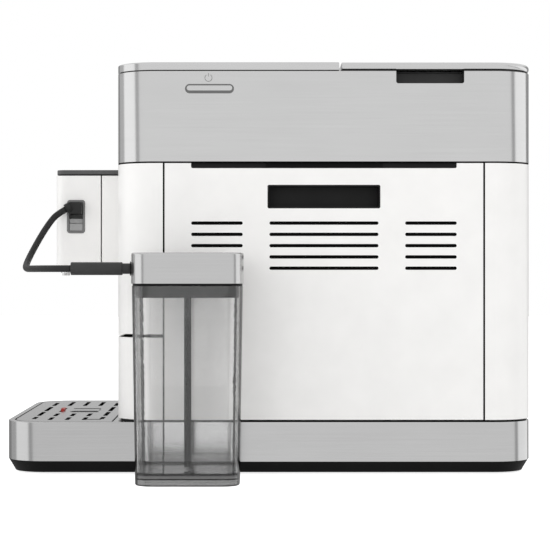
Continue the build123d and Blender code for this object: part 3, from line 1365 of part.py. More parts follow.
with BuildPart() as drip_tray:
    plan_plate(TRAY_LOW, TRAY_FLOOR, TRAY_FRONT, REAR, TRAY_IN, (TRAY_FRONT, WRAP_END))
    plan_wall(TRAY_FLOOR, BASIN_TOP, TRAY_FRONT, REAR, TRAY_IN, TRAY_T, (TRAY_FRONT, WRAP_END))
    plan_wall(TRAY_FLOOR, FRAME_TOP_Z, BODY_FRONT, REAR, FRAME_IN, TRAY_T, (BODY_FRONT, WRAP_END))
    tail_x = (-DRAWER_TAIL_X, DRAWER_TAIL_X)
    block(tail_x, (WRAP_END - OVER, DRAWER_TAIL), (TRAY_LOW, TRAY_FLOOR))
    block(tail_x, (DRAWER_TAIL - TRAY_T, DRAWER_TAIL), (TRAY_FLOOR, TRAY_FLOOR + TAIL_WALL_H))
    for side in (-1, 1):
        block(
            sorted((side * (DRAWER_TAIL_X - TRAY_T), side * DRAWER_TAIL_X)),
            (WRAP_END, DRAWER_TAIL),
            (TRAY_FLOOR, TRAY_FLOOR + TAIL_WALL_H),
        )
    for x in (-POST_X, POST_X):
        for y in (POST_FRONT, POST_BACK):
            rod((x, y), (TRAY_FLOOR, BASE_TOP - PLATE_T - FIT), POST_R)
    rod((FLOAT_X, FLOAT_Y), (TRAY_FLOOR, TOWER_TOP), TOWER_R)
    rod((FLOAT_X, FLOAT_Y), (TRAY_FLOOR, TOWER_TOP + OVER), STEM_R + SLIDE_GAP, Mode.SUBTRACT)
save(drip_tray, "drip_tray")

with BuildPart() as drawer_front:
    plan_wall(SHELL_LOW, SLIT_LOW, BODY_FRONT, REAR, 0, PANEL_T, (BODY_FRONT - OVER, WRAP_END))
save(drawer_front, "drawer_front")

# Drip grille: slots in five rows, and a pressed pad in the middle
SLOT_W = 4.1
END_ROW = [(81.0, 105.0), (21.0, 67.0), (-44.0, 10.0), (-101.0, -60.0)]
MID_ROW = [(86.0, 115.0), (40.0, 71.0), (-113.0, -60.0)]
FLOAT_SLOT = (-28.0, 20.0)
GRILLE_ROWS = [END_ROW, MID_ROW + [FLOAT_SLOT], MID_ROW, MID_ROW, END_ROW]
PAD_X = (-27.0, 15.0)
PAD_FRONT_IN = 47.0
PAD_BACK_AHEAD = 27.0
PAD_UP = 0.6
PAD_CORNER = 3.0
GROOVE_W = 1.6
GROOVE_IN = 9.0
SIDE_GROOVE_X = 106.6
SIDE_GROOVE_FAR = 32.0
SIDE_GROOVE_NEAR = 15.0
PAD_Y = (TRAY_FRONT + PAD_FRONT_IN, BODY_FRONT - PAD_BACK_AHEAD)
SIDE_GROOVE_Y = (BODY_FRONT - SIDE_GROOVE_FAR, BODY_FRONT - SIDE_GROOVE_NEAR)
PLATE_LOW = BASE_TOP - PLATE_T

with BuildPart() as drip_grille:
    plan_plate(
        PLATE_LOW, BASE_TOP, TRAY_FRONT, REAR, RIM_W + GRILLE_GAP, (TRAY_FRONT, GRILLE_BACK - GRILLE_GAP)
    )
    block(PAD_X, PAD_Y, (BASE_TOP, BASE_TOP + PAD_UP), Mode.ADD, PAD_CORNER)
    for row, slots in enumerate(GRILLE_ROWS):
        y = ROW_FRONT + row * ROW_PITCH
        slot_y = (y - SLOT_W / 2, y + SLOT_W / 2)
        for slot in slots:
            block(slot, slot_y, (PLATE_LOW - OVER, BASE_TOP + OVER), Mode.SUBTRACT, EASE)
    for x in (PAD_X[0] + GROOVE_IN, PAD_X[1] - GROOVE_IN):
        block(
            (x - GROOVE_W / 2, x + GROOVE_W / 2),
            (PAD_Y[0] + PAD_CORNER, PAD_Y[1] - PAD_CORNER),
            (BASE_TOP - PAD_UP, BASE_TOP + OVER),
            Mode.SUBTRACT,
        )
    block(
        (SIDE_GROOVE_X - GROOVE_W / 2, SIDE_GROOVE_X + GROOVE_W / 2),
        SIDE_GROOVE_Y,
        (BASE_TOP - PAD_UP, BASE_TOP + OVER),
        Mode.SUBTRACT,
    )
save(drip_grille, "drip_grille")

# Red float: a stem in the tray's tower, an arm, and a knob that stands in the grille's slot
ARM_T = 6.4
FLOAT_ARM = (-20.0, 66.0)
FLOAT_ARM_W = 9.0
KNOB_X = (-12.0, 2.0)
KNOB_W = 3.5
KNOB_UP = 2.0
STEM_DROP = 13.0
ARM_LOW = TOWER_TOP + FIT

with BuildPart() as tray_float:
    arm_y = (FLOAT_Y - FLOAT_ARM_W / 2, FLOAT_Y + FLOAT_ARM_W / 2)
    block(FLOAT_ARM, arm_y, (ARM_LOW, ARM_LOW + ARM_T), Mode.ADD, OVER)
    rod((FLOAT_X, FLOAT_Y), (ARM_LOW - STEM_DROP, ARM_LOW), STEM_R)
    knob_y = (FLOAT_Y - KNOB_W / 2, FLOAT_Y + KNOB_W / 2)
    block(KNOB_X, knob_y, (ARM_LOW, BASE_TOP + KNOB_UP), Mode.ADD, EASE)
    fillet(tray_float.faces().sort_by(Axis.Z)[-1].outer_wire().edges(), EASE)
save(tray_float, "tray_float")

# Grounds bin behind the drawer's front, under the brew unit
BIN_X = (3.0, 108.0)
BIN_FRONT_IN = 8.0
BIN_TAIL_IN = 6.0
BIN_H = 96.0
BIN_T = 2.0
BIN_CORNER = 10.0
BIN_Y = (BODY_FRONT + BIN_FRONT_IN, DRAWER_TAIL - BIN_TAIL_IN)
BIN_LOW = TRAY_FLOOR + FIT

with BuildPart() as grounds_bin:
    block(BIN_X, BIN_Y, (BIN_LOW, BIN_LOW + BIN_H), Mode.ADD, BIN_CORNER)
    block(
        (BIN_X[0] + BIN_T, BIN_X[1] - BIN_T),
        (BIN_Y[0] + BIN_T, BIN_Y[1] - BIN_T),
        (BIN_LOW + BIN_T, BIN_LOW + BIN_H + OVER),
        Mode.SUBTRACT,
        BIN_CORNER - BIN_T,
    )
save(grounds_bin, "grounds_bin")

# Spout head: slides on a T rail on the front shell
HEAD_X = 48.0
HEAD_REACH = 64.0
HEAD_BACK_L = 21.1
HEAD_SEAM = 1.2
HEAD_DROP = 6.3
HEAD_CORNER = 9.0
HEAD_T = 2.2
RAIL_NECK_X = 10.0
RAIL_HEAD_X = 18.0
RAIL_NECK_T = 3.0
RAIL_HEAD_T = 5.6
RAIL_FOOT_UP = 3.0
RAIL_RISE = 1.0
SLAB_T = 2.4
HEAD_TRAVEL = 55.0
FEED_SLOT_X = 6.0
FEED_SLOT_MARGIN = 6.0
HEAD_FRONT = BODY_FRONT - HEAD_REACH
HEAD_BACK = BODY_FRONT - SLIDE_GAP
HEAD_SPLIT = BODY_FRONT - HEAD_BACK_L
HEAD_TOP = SHELL_TOP - HEAD_DROP
RAIL_LOW = HEAD_LOW + RAIL_FOOT_UP
RAIL_TOP = HEAD_TOP + RAIL_RISE
RAIL_MID = BODY_FRONT - RAIL_NECK_T
RAIL_FRONT = RAIL_MID - RAIL_HEAD_T
SLAB_FRONT = RAIL_FRONT - SLAB_T


def head_block(low, high, front, back, inset, mode=Mode.ADD):
    """Block with the spout head's plan, its two front corners rounded."""
    with BuildSketch(Plane.XY.offset(low)) as plan:
        with Locations((0, (front + back) / 2)):
            Rectangle(2 * (HEAD_X - inset), back - front)
        fillet(plan.vertices().group_by(Axis.Y)[0], HEAD_CORNER - inset)
    extrude(plan.sketch, amount=high - low, mode=mode)


with BuildPart() as head_rail:
    block((-RAIL_NECK_X, RAIL_NECK_X), (RAIL_MID, BODY_FRONT), (RAIL_LOW, RAIL_TOP))
    block((-RAIL_HEAD_X, RAIL_HEAD_X), (RAIL_FRONT, RAIL_MID), (RAIL_LOW, RAIL_TOP))
    bar((0, FEED_OUT, FEED_Z), (0, FEED_IN, FEED_Z), FEED_R + FEED_GAP, Mode.SUBTRACT)
save(head_rail, "head_rail")

# Port on the head's right side for the milk hose's plug and its latch
PORT_BEHIND = 19.3
PORT_DROP = 39.1
PORT_L = 17.2
PORT_H = 31.8
PORT_T = 1.9
PORT_CORNER = 3.0
PORT_BACK_T = 2.0
PORT_DEPTH = 14.0
PORT_PROUD = 0.8
PORT_Y = HEAD_FRONT + PORT_BEHIND
PORT_Z = HEAD_TOP - PORT_DROP
PORT_IN = HEAD_X - PORT_DEPTH

with BuildPart() as head_cover:
    head_block(HEAD_LOW, HEAD_TOP, HEAD_FRONT, HEAD_SPLIT, 0)
    fillet(
        head_cover.faces().sort_by(Axis.Z)[0].outer_wire().edges().sort_by(Axis.Y)[:-1],
        EASE,
    )
    head_block(
        HEAD_LOW - OVER, HEAD_TOP + OVER, HEAD_FRONT + HEAD_T, HEAD_SPLIT + OVER, HEAD_T, Mode.SUBTRACT
    )
    side_hole(
        (HEAD_X - HEAD_T - OVER, HEAD_X + OVER), (PORT_Y, PORT_Z), (PORT_L + GAP, PORT_H + GAP), PORT_CORNER
    )
save(head_cover, "head_cover")

with BuildPart() as port_frame:
    side_hole((PORT_IN, HEAD_X + PORT_PROUD), (PORT_Y, PORT_Z), (PORT_L, PORT_H), PORT_CORNER, Mode.ADD)
    fillet(port_frame.faces().sort_by(Axis.X)[-1].outer_wire().edges(), EASE)
    side_hole(
        (PORT_IN + PORT_BACK_T, HEAD_X + 2 * OVER),
        (PORT_Y, PORT_Z),
        (PORT_L - 2 * PORT_T, PORT_H - 2 * PORT_T),
        PORT_CORNER - PORT_T,
    )
save(port_frame, "port_frame")

with BuildPart() as head_back:
    back_front = HEAD_SPLIT + HEAD_SEAM
    block((-HEAD_X, HEAD_X), (back_front, HEAD_BACK), (HEAD_LOW, HEAD_TOP))
    block(
        (-HEAD_X + HEAD_T, HEAD_X - HEAD_T),
        (back_front - OVER, SLAB_FRONT),
        (HEAD_LOW - OVER, HEAD_TOP + OVER),
        Mode.SUBTRACT,
    )
    channel_z = (HEAD_LOW - OVER, HEAD_TOP + OVER)
    neck_x = RAIL_NECK_X + SLIDE_GAP
    block((-neck_x, neck_x), (RAIL_MID, BODY_FRONT), channel_z, Mode.SUBTRACT)
    wide_x = RAIL_HEAD_X + SLIDE_GAP
    block(
        (-wide_x, wide_x), (RAIL_FRONT - SLIDE_GAP, RAIL_MID + SLIDE_GAP), channel_z, Mode.SUBTRACT
    )
    block(
        (-FEED_SLOT_X, FEED_SLOT_X),
        (SLAB_FRONT - OVER, RAIL_FRONT),
        (FEED_Z - FEED_SLOT_MARGIN, FEED_Z + HEAD_TRAVEL + FEED_SLOT_MARGIN),
        Mode.SUBTRACT,
    )
save(head_back, "head_back")

CAP_GAP = 1.0
CAP_T = 4.5
CAP_IN = 0.6
CAP_PLUG = 4.0
CAP_PLUG_T = 1.6
CAP_LOW = HEAD_TOP + CAP_GAP

with BuildPart() as head_cap:
    head_block(CAP_LOW, CAP_LOW + CAP_T, HEAD_FRONT + CAP_IN, HEAD_BACK - CAP_IN, CAP_IN)
    fillet(head_cap.faces().sort_by(Axis.Z)[-1].outer_wire().edges(), EASE)
    plug_in = HEAD_T + GAP
    plug_low = CAP_LOW - CAP_PLUG
    head_block(plug_low, CAP_LOW, HEAD_FRONT + plug_in, HEAD_SPLIT - GAP, plug_in)
    ring_in = plug_in + CAP_PLUG_T
    head_block(
        plug_low - OVER, CAP_LOW, HEAD_FRONT + ring_in, HEAD_SPLIT - CAP_PLUG_T, ring_in, Mode.SUBTRACT
    )
    notch_x = RAIL_HEAD_X + 2 * SLIDE_GAP
    block(
        (-notch_x, notch_x),
        (RAIL_FRONT - 2 * SLIDE_GAP, BODY_FRONT + OVER),
        (CAP_LOW - CAP_PLUG - OVER, CAP_LOW + CAP_T + OVER),
        Mode.SUBTRACT,
    )
save(head_cap, "head_cap")

# Nozzle block: closes the head's underside, with two spouts near the front
NOZZLE_R = 2.3
NOZZLE_BORE_R = 1.5
NOZZLE_X = 14.0
NOZZLE_DROP = 6.0
NOZZLE_IN = 0.2
FLOOR_UP = 1.0
NOZZLE_FLOOR_T = 3.0
SUMP_X = 30.0
SUMP_DEPTH = 34.0
SUMP_DROP = 3.5
SUMP_WALL = 2.0
SUMP_RIM = 4.0
NOZZLE_TIP = HEAD_LOW - NOZZLE_DROP

with BuildPart() as spout_nozzles:
    floor_low = HEAD_LOW + FLOOR_UP
    floor_top = floor_low + NOZZLE_FLOOR_T
    floor_in = HEAD_T + GAP
    head_block(floor_low, floor_top, HEAD_FRONT + floor_in, HEAD_SPLIT - GAP, floor_in)
    sump_y = (HEAD_FRONT + floor_in, HEAD_FRONT + floor_in + SUMP_DEPTH)
    sump_corner = HEAD_CORNER - floor_in
    block((-SUMP_X, SUMP_X), sump_y, (HEAD_LOW - SUMP_DROP, floor_low), Mode.ADD, sump_corner)
    block((-SUMP_X, SUMP_X), sump_y, (floor_top, floor_top + SUMP_RIM))
    block(
        (-SUMP_X + SUMP_WALL, SUMP_X - SUMP_WALL),
        (sump_y[0] + SUMP_WALL, sump_y[1] - SUMP_WALL),
        (floor_low, floor_top + SUMP_RIM + OVER),
        Mode.SUBTRACT,
    )
    nozzle_y = sump_y[0] + NOZZLE_R + NOZZLE_IN
    for x in (-NOZZLE_X, NOZZLE_X):
        rod((x, nozzle_y), (NOZZLE_TIP, floor_low), NOZZLE_R)
        rod((x, nozzle_y), (NOZZLE_TIP - OVER, floor_low + OVER), NOZZLE_BORE_R, Mode.SUBTRACT)
save(spout_nozzles, "spout_nozzles")

# Milk frother behind the port, with its pipe down to the nozzle block
FROTHER_W = 22.0
FROTHER_HALF = 8.0
FROTHER_DOWN = 10.3
FROTHER_UP = 25.7
FROTHER_PIPE_R = 4.0
FROTHER_Z = (PORT_Z - FROTHER_DOWN, PORT_Z + FROTHER_UP)
FROTHER_X = (PORT_IN - FIT - FROTHER_W, PORT_IN - FIT)

with BuildPart() as milk_frother:
    block(FROTHER_X, (PORT_Y - FROTHER_HALF, PORT_Y + FROTHER_HALF), FROTHER_Z, Mode.ADD, PORT_T)
    pipe = ((FROTHER_X[0] + FROTHER_X[1]) / 2, PORT_Y)
    rod(pipe, (floor_top + FIT, FROTHER_Z[0]), FROTHER_PIPE_R)
save(milk_frother, "milk_frother")

# Elbow plug of the milk hose and the latch that holds it
PLUG_H = 11.4
PLUG_OUT = 9.6
PLUG_ELBOW_R = 4.8
PLUG_ELBOW_L = 5.0
PLUG_TOP_IN = 0.4
HOSE_START_X = 8.0
HOSE_START_Y = 8.8
HOSE_START_Z = 1.2
LATCH_STEP = 1.0
LATCH_LOW_H = 6.6
LATCH_GROOVE = 0.5
LATCH_TOP_H = 4.3
LATCH_SINK = 0.4
LATCH_ROOM = 2.0
LATCH_NECK = 3.0
PORT_OPEN_L = PORT_L - 2 * PORT_T
PORT_OPEN_LOW = PORT_Z - PORT_H / 2 + PORT_T
PORT_OPEN_TOP = PORT_Z + PORT_H / 2 - PORT_T
PLUG_TOP = PORT_OPEN_TOP - PLUG_TOP_IN
PLUG_Z = PLUG_TOP - PLUG_H / 2
PLUG_Y = (PORT_Y - PORT_OPEN_L / 2 + 2 * GAP, PORT_Y + PORT_OPEN_L / 2 - 2 * GAP)

# Where the jug stands, and the milk hose's way from the plug to the stiff sleeve at the jug's lid
JUG_OUT = 55.4
JUG_BEHIND = 68.1
JUG_LID_LOW = 173.1
JUG_LID_L = 96.6
HOSE_UP = 12.9
COLLAR_OUT = 2.5
SLEEVE_L = 45.0
SLEEVE_TIP_L = 6.6
HOSE_TURNS = [
    (57.3, -61.6, 238.4),
    (60.0, -67.4, 231.6),
    (64.8, -74.0, 220.9),
    (73.4, -80.0, 208.6),
    (87.0, -84.4, 196.9),
    (107.0, -85.2, 188.9),
    (133.0, -81.3, 186.1),
    (162.0, -73.3, 186.0),
    (181.5, -63.3, 186.0),
    (191.4, -53.3, 186.0),
    (195.4, -43.8, 186.0),
]
JUG_X = SIDE + JUG_OUT
JUG_Y = BODY_FRONT + JUG_BEHIND
PORT_AXIS_Z = JUG_LID_LOW + HOSE_UP
JUG_LID_FRONT = JUG_Y - JUG_LID_L / 2
SLEEVE_TIP_END = JUG_LID_FRONT - COLLAR_OUT - GAP
SLEEVE_MID = SLEEVE_TIP_END - SLEEVE_TIP_L
SLEEVE_START = SLEEVE_MID - SLEEVE_L
HOSE_START = (HEAD_X + HOSE_START_X, PORT_Y - HOSE_START_Y, PLUG_Z - HOSE_START_Z)
HOSE_ROUTE = [HOSE_START]
HOSE_ROUTE += [(x, BODY_FRONT + y, z) for x, y, z in HOSE_TURNS]
HOSE_ROUTE += [(JUG_X, SLEEVE_START, PORT_AXIS_Z)]

with BuildPart() as hose_plug:
    block((PORT_IN + PORT_BACK_T + GAP, HEAD_X + PLUG_OUT), PLUG_Y, (PLUG_TOP - PLUG_H, PLUG_TOP))
    fillet(hose_plug.faces().sort_by(Axis.X)[-1].edges(), OVER)
    hose_way = (Vector(*HOSE_ROUTE[1]) - Vector(*HOSE_START)).normalized()
    bar(tuple(Vector(*HOSE_START) - hose_way * PLUG_ELBOW_L), HOSE_START, PLUG_ELBOW_R)
save(hose_plug, "hose_plug")

with BuildPart() as port_latch:
    latch_low = PORT_OPEN_LOW + EASE
    latch_mid = latch_low + LATCH_LOW_H
    latch_top = latch_mid + LATCH_GROOVE + LATCH_TOP_H
    latch_back = PORT_IN + PORT_BACK_T + LATCH_ROOM
    latch_face = HEAD_X - LATCH_SINK
    block((latch_back, latch_face), PLUG_Y, (latch_low, latch_mid))
    block((latch_back, latch_face - LATCH_STEP), PLUG_Y, (latch_mid + LATCH_GROOVE, latch_top))
    block((latch_back, latch_face - LATCH_NECK), PLUG_Y, (latch_low, latch_top))
save(port_latch, "port_latch")

# Milk jug on the countertop beside the machine
JUG_LID_W = 84.0
JUG_CORNER = 18.0
JUG_LID_H = 26.5
JUG_TOP = 171.0
JUG_TAPER = 2.7
JUG_IN = 0.6
JUG_T = 2.5
JUG_BASE_T = 11.0
JUG_LID_T = 1.6
INSERT_H = 10.0
TUBE_OUT_R = 3.15
TUBE_IN_R = 2.2
TUBE_AHEAD = 0.6
TUBE_UP = 2.0
COLLAR_R = 6.2
DUCT_R = 5.0
NIPPLE_R = 2.5
NIPPLE_FIT = 0.1
NIPPLE_L = 10.0
TUBE_Y = JUG_Y - TUBE_AHEAD
TUBE_LOW = JUG_BASE_T + TUBE_UP
JUG = (JUG_X, JUG_Y)


def jug_plan(z, inset):
    """Rounded plan of the jug at a height, drawn in by an inset."""
    with BuildSketch(Plane.XY.offset(z)) as plan:
        with Locations(JUG):
            RectangleRounded(JUG_LID_W - 2 * inset, JUG_LID_L - 2 * inset, JUG_CORNER - inset)
    return plan.sketch


with BuildPart() as jug_body:
    loft([jug_plan(0, JUG_IN + JUG_TAPER), jug_plan(JUG_TOP, JUG_IN)])
    fillet(jug_body.faces().sort_by(Axis.Z)[0].outer_wire().edges(), JUG_LID_T)
    base_share = JUG_BASE_T / JUG_TOP
    inner_low = jug_plan(JUG_BASE_T, JUG_IN + JUG_T + JUG_TAPER * (1 - base_share))
    loft([inner_low, jug_plan(JUG_TOP, JUG_IN + JUG_T)], mode=Mode.SUBTRACT)
save(jug_body, "jug_body")

with BuildPart() as jug_insert:
    insert_in = JUG_IN + JUG_T + SLIDE_GAP
    extrude(jug_plan(JUG_TOP - INSERT_H, insert_in + JUG_TAPER * INSERT_H / JUG_TOP), amount=INSERT_H)
    extrude(jug_plan(JUG_TOP, 2 * JUG_IN), amount=JUG_LID_LOW - JUG_TOP)
    rod((JUG_X, TUBE_Y), (JUG_LID_LOW, PORT_AXIS_Z + DUCT_R), DUCT_R)
    bar((JUG_X, TUBE_Y, PORT_AXIS_Z), (JUG_X, JUG_LID_FRONT, PORT_AXIS_Z), DUCT_R)
    bar((JUG_X, JUG_LID_FRONT, PORT_AXIS_Z), (JUG_X, JUG_LID_FRONT - COLLAR_OUT, PORT_AXIS_Z), COLLAR_R)
    bar(
        (JUG_X, TUBE_Y, PORT_AXIS_Z),
        (JUG_X, JUG_LID_FRONT - COLLAR_OUT - OVER, PORT_AXIS_Z),
        NIPPLE_R + NIPPLE_FIT,
        Mode.SUBTRACT,
    )
    rod((JUG_X, TUBE_Y), (JUG_TOP - INSERT_H - OVER, JUG_TOP), TUBE_OUT_R + FIT, Mode.SUBTRACT)
    rod((JUG_X, TUBE_Y), (JUG_TOP - OVER, PORT_AXIS_Z), TUBE_IN_R, Mode.SUBTRACT)
save(jug_insert, "jug_insert")

with BuildPart() as suction_tube:
    rod((JUG_X, TUBE_Y), (TUBE_LOW, JUG_TOP - FIT), TUBE_OUT_R)
    rod((JUG_X, TUBE_Y), (TUBE_LOW - OVER, JUG_TOP), TUBE_IN_R, Mode.SUBTRACT)
save(suction_tube, "suction_tube")

with BuildPart() as jug_lid:
    extrude(jug_plan(JUG_LID_LOW, 0), amount=JUG_LID_H)
    fillet(jug_lid.faces().sort_by(Axis.Z)[-1].outer_wire().edges(), JUG_LID_T)
    extrude(jug_plan(JUG_LID_LOW, JUG_LID_T), amount=JUG_LID_H - JUG_LID_T, mode=Mode.SUBTRACT)
    bar(
        (JUG_X, JUG_LID_FRONT + JUG_LID_T + OVER, PORT_AXIS_Z),
        (JUG_X, JUG_LID_FRONT - OVER, PORT_AXIS_Z),
        COLLAR_R + GAP,
        Mode.SUBTRACT,
    )
save(jug_lid, "jug_lid")

# Stiff sleeve of the milk hose, plugged into the jug's lid
SLEEVE_R = 5.65
SLEEVE_TIP_R = 4.65

with BuildPart() as hose_sleeve:
    bar((JUG_X, SLEEVE_START, PORT_AXIS_Z), (JUG_X, SLEEVE_MID, PORT_AXIS_Z), SLEEVE_R)
    fillet(hose_sleeve.edges().filter_by(GeomType.CIRCLE), EASE)
    bar((JUG_X, SLEEVE_MID, PORT_AXIS_Z), (JUG_X, SLEEVE_TIP_END, PORT_AXIS_Z), SLEEVE_TIP_R)
    bar((JUG_X, SLEEVE_TIP_END, PORT_AXIS_Z), (JUG_X, SLEEVE_TIP_END + NIPPLE_L, PORT_AXIS_Z), NIPPLE_R)
save(hose_sleeve, "hose_sleeve")

# Milk hose: leaves the plug forwards, hangs in a wide turn and comes back to the sleeve
HOSE_R = 3.0
ARC_SHARE = 0.45


def hose_radii(route):
    """Largest bend at each inner point that its two runs allow."""
    radii = []
    for before, here, after in zip(route, route[1:], route[2:]):
        run_in = Vector(*here) - Vector(*before)
        run_out = Vector(*after) - Vector(*here)
        turn = math.radians(run_in.get_angle(run_out))
        radii.append(ARC_SHARE * min(run_in.length, run_out.length) / math.tan(turn / 2))
    return radii


bends = hose_radii(HOSE_ROUTE)
with BuildPart() as milk_hose:
    with BuildLine() as hose_line:
        FilletPolyline(*HOSE_ROUTE, radius=bends)
    with BuildSketch(Plane(origin=hose_line.line @ 0, z_dir=hose_line.line % 0)):
        Circle(HOSE_R)
    sweep(path=hose_line.wires()[0])
save(milk_hose, "milk_hose")

hose_length = hose_line.wires()[0].length
print("hose bend radii", [round(radius, 1) for radius in bends])
print("hose length", round(hose_length, 1))
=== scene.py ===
import math

import bmesh
import bpy
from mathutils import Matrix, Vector


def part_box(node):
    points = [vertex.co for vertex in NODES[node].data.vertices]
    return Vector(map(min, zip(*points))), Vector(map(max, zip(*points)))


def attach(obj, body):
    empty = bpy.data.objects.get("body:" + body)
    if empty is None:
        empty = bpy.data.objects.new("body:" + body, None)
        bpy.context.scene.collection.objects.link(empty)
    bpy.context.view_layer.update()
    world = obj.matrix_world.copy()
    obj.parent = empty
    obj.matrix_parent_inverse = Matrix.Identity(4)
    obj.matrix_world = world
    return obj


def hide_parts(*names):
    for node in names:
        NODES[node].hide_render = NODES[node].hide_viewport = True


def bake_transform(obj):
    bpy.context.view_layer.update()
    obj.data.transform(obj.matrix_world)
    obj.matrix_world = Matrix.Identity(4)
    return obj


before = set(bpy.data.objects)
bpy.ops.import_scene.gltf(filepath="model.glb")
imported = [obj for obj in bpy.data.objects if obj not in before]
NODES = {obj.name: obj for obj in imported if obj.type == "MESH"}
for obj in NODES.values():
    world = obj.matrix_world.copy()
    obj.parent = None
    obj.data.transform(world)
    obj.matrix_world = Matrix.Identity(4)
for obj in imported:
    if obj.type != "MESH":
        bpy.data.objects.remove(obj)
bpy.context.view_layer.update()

MM = 0.001

# Camera at the photograph's place, looking level along -X at the right side
SENSOR = 36.0
PHOTO_W = 550.0
FOCAL_PX = 1764.0
AXIS_PX_X = 252.0
AXIS_PX_Y = 275.5
CAMERA_AT = (1.735, -0.0154, 0.180)
CAMERA_TURN = (math.radians(90), 0, math.radians(90))
CAMERA_CLIP = (0.05, 50)

camera = bpy.data.objects.new("camera", bpy.data.cameras.new("camera"))
bpy.context.scene.collection.objects.link(camera)
camera.location = CAMERA_AT
camera.rotation_euler = CAMERA_TURN
camera.data.sensor_width = SENSOR
camera.data.lens = SENSOR * FOCAL_PX / PHOTO_W
camera.data.shift_x = (PHOTO_W / 2 - AXIS_PX_X) / PHOTO_W
camera.data.shift_y = (AXIS_PX_Y - PHOTO_W / 2) / PHOTO_W
camera.data.clip_start, camera.data.clip_end = CAMERA_CLIP
bpy.context.scene.camera = camera


# Small tools for meshes and node trees
def add_mesh(name, verts, faces, smooth=True):
    """New object from points and faces, with its normals turned outwards."""
    mesh = bpy.data.meshes.new(name)
    mesh.from_pydata([tuple(v) for v in verts], [], faces)
    shape = bmesh.new()
    shape.from_mesh(mesh)
    bmesh.ops.recalc_face_normals(shape, faces=shape.faces)
    shape.to_mesh(mesh)
    shape.free()
    for face in mesh.polygons:
        face.use_smooth = smooth
    piece = bpy.data.objects.new(name, mesh)
    bpy.context.scene.collection.objects.link(piece)
    return piece


def prism(name, outline, depths, hole=None):
    """Flat plate on the right side: an outline in Y and Z between two X.

    It may have a hole, given by as many points as the outline.
    """
    low, high = depths
    count = len(outline)
    rings = [outline] if hole is None else [outline, hole]
    verts = [(x, y, z) for ring in rings for x in (low, high) for y, z in ring]
    faces = []
    for index in range(len(rings)):
        base = 2 * count * index
        for k in range(count):
            n = (k + 1) % count
            faces.append((base + k, base + n, base + count + n, base + count + k))
    if hole is None:
        faces.append(tuple(range(count)))
        faces.append(tuple(range(count, 2 * count)))
    else:
        for level in (0, count):
            for k in range(count):
                n = (k + 1) % count
                faces.append((level + k, level + n, 2 * count + level + n, 2 * count + level + k))
    return add_mesh(name, verts, faces, smooth=False)


def laid(name, outline, heights):
    """Flat plate that lies level: an outline in X and Y between two heights."""
    low, high = heights
    count = len(outline)
    verts = [(x, y, z) for z in (low, high) for x, y in outline]
    faces = [(k, (k + 1) % count, count + (k + 1) % count, count + k) for k in range(count)]
    faces.append(tuple(range(count)))
    faces.append(tuple(range(count, 2 * count)))
    return add_mesh(name, verts, faces, smooth=False)


def tube(name, path, radius, sides):
    """Round tube along a list of points, closed at both ends."""
    verts = []
    faces = []
    side = None
    for index, point in enumerate(path):
        ahead = path[min(index + 1, len(path) - 1)]
        behind = path[max(index - 1, 0)]
        way = (ahead - behind).normalized()
        side = Vector((0, 0, 1)) if side is None else side
        side = (side - way * side.dot(way)).normalized()
        up = way.cross(side)
        for k in range(sides):
            angle = 2 * math.pi * k / sides
            verts.append(point + radius * (math.cos(angle) * side + math.sin(angle) * up))
    for index in range(len(path) - 1):
        for k in range(sides):
            n = (k + 1) % sides
            low = index * sides
            faces.append((low + k, low + n, low + sides + n, low + sides + k))
    faces.append(tuple(range(sides)))
    faces.append(tuple(range(len(verts) - sides, len(verts))))
    return add_mesh(name, verts, faces)


def fill(tree, node, values):
    """Sets a node's first inputs to numbers or links them to sockets; None leaves one as it is."""
    for socket, value in zip(node.inputs, values):
        if isinstance(value, bpy.types.NodeSocket):
            tree.links.new(value, socket)
        elif value is not None:
            socket.default_value = value


# Noise lies mostly between these two levels, so its colours run from one to the other
NOISE_SPAN = (0.3, 0.7)


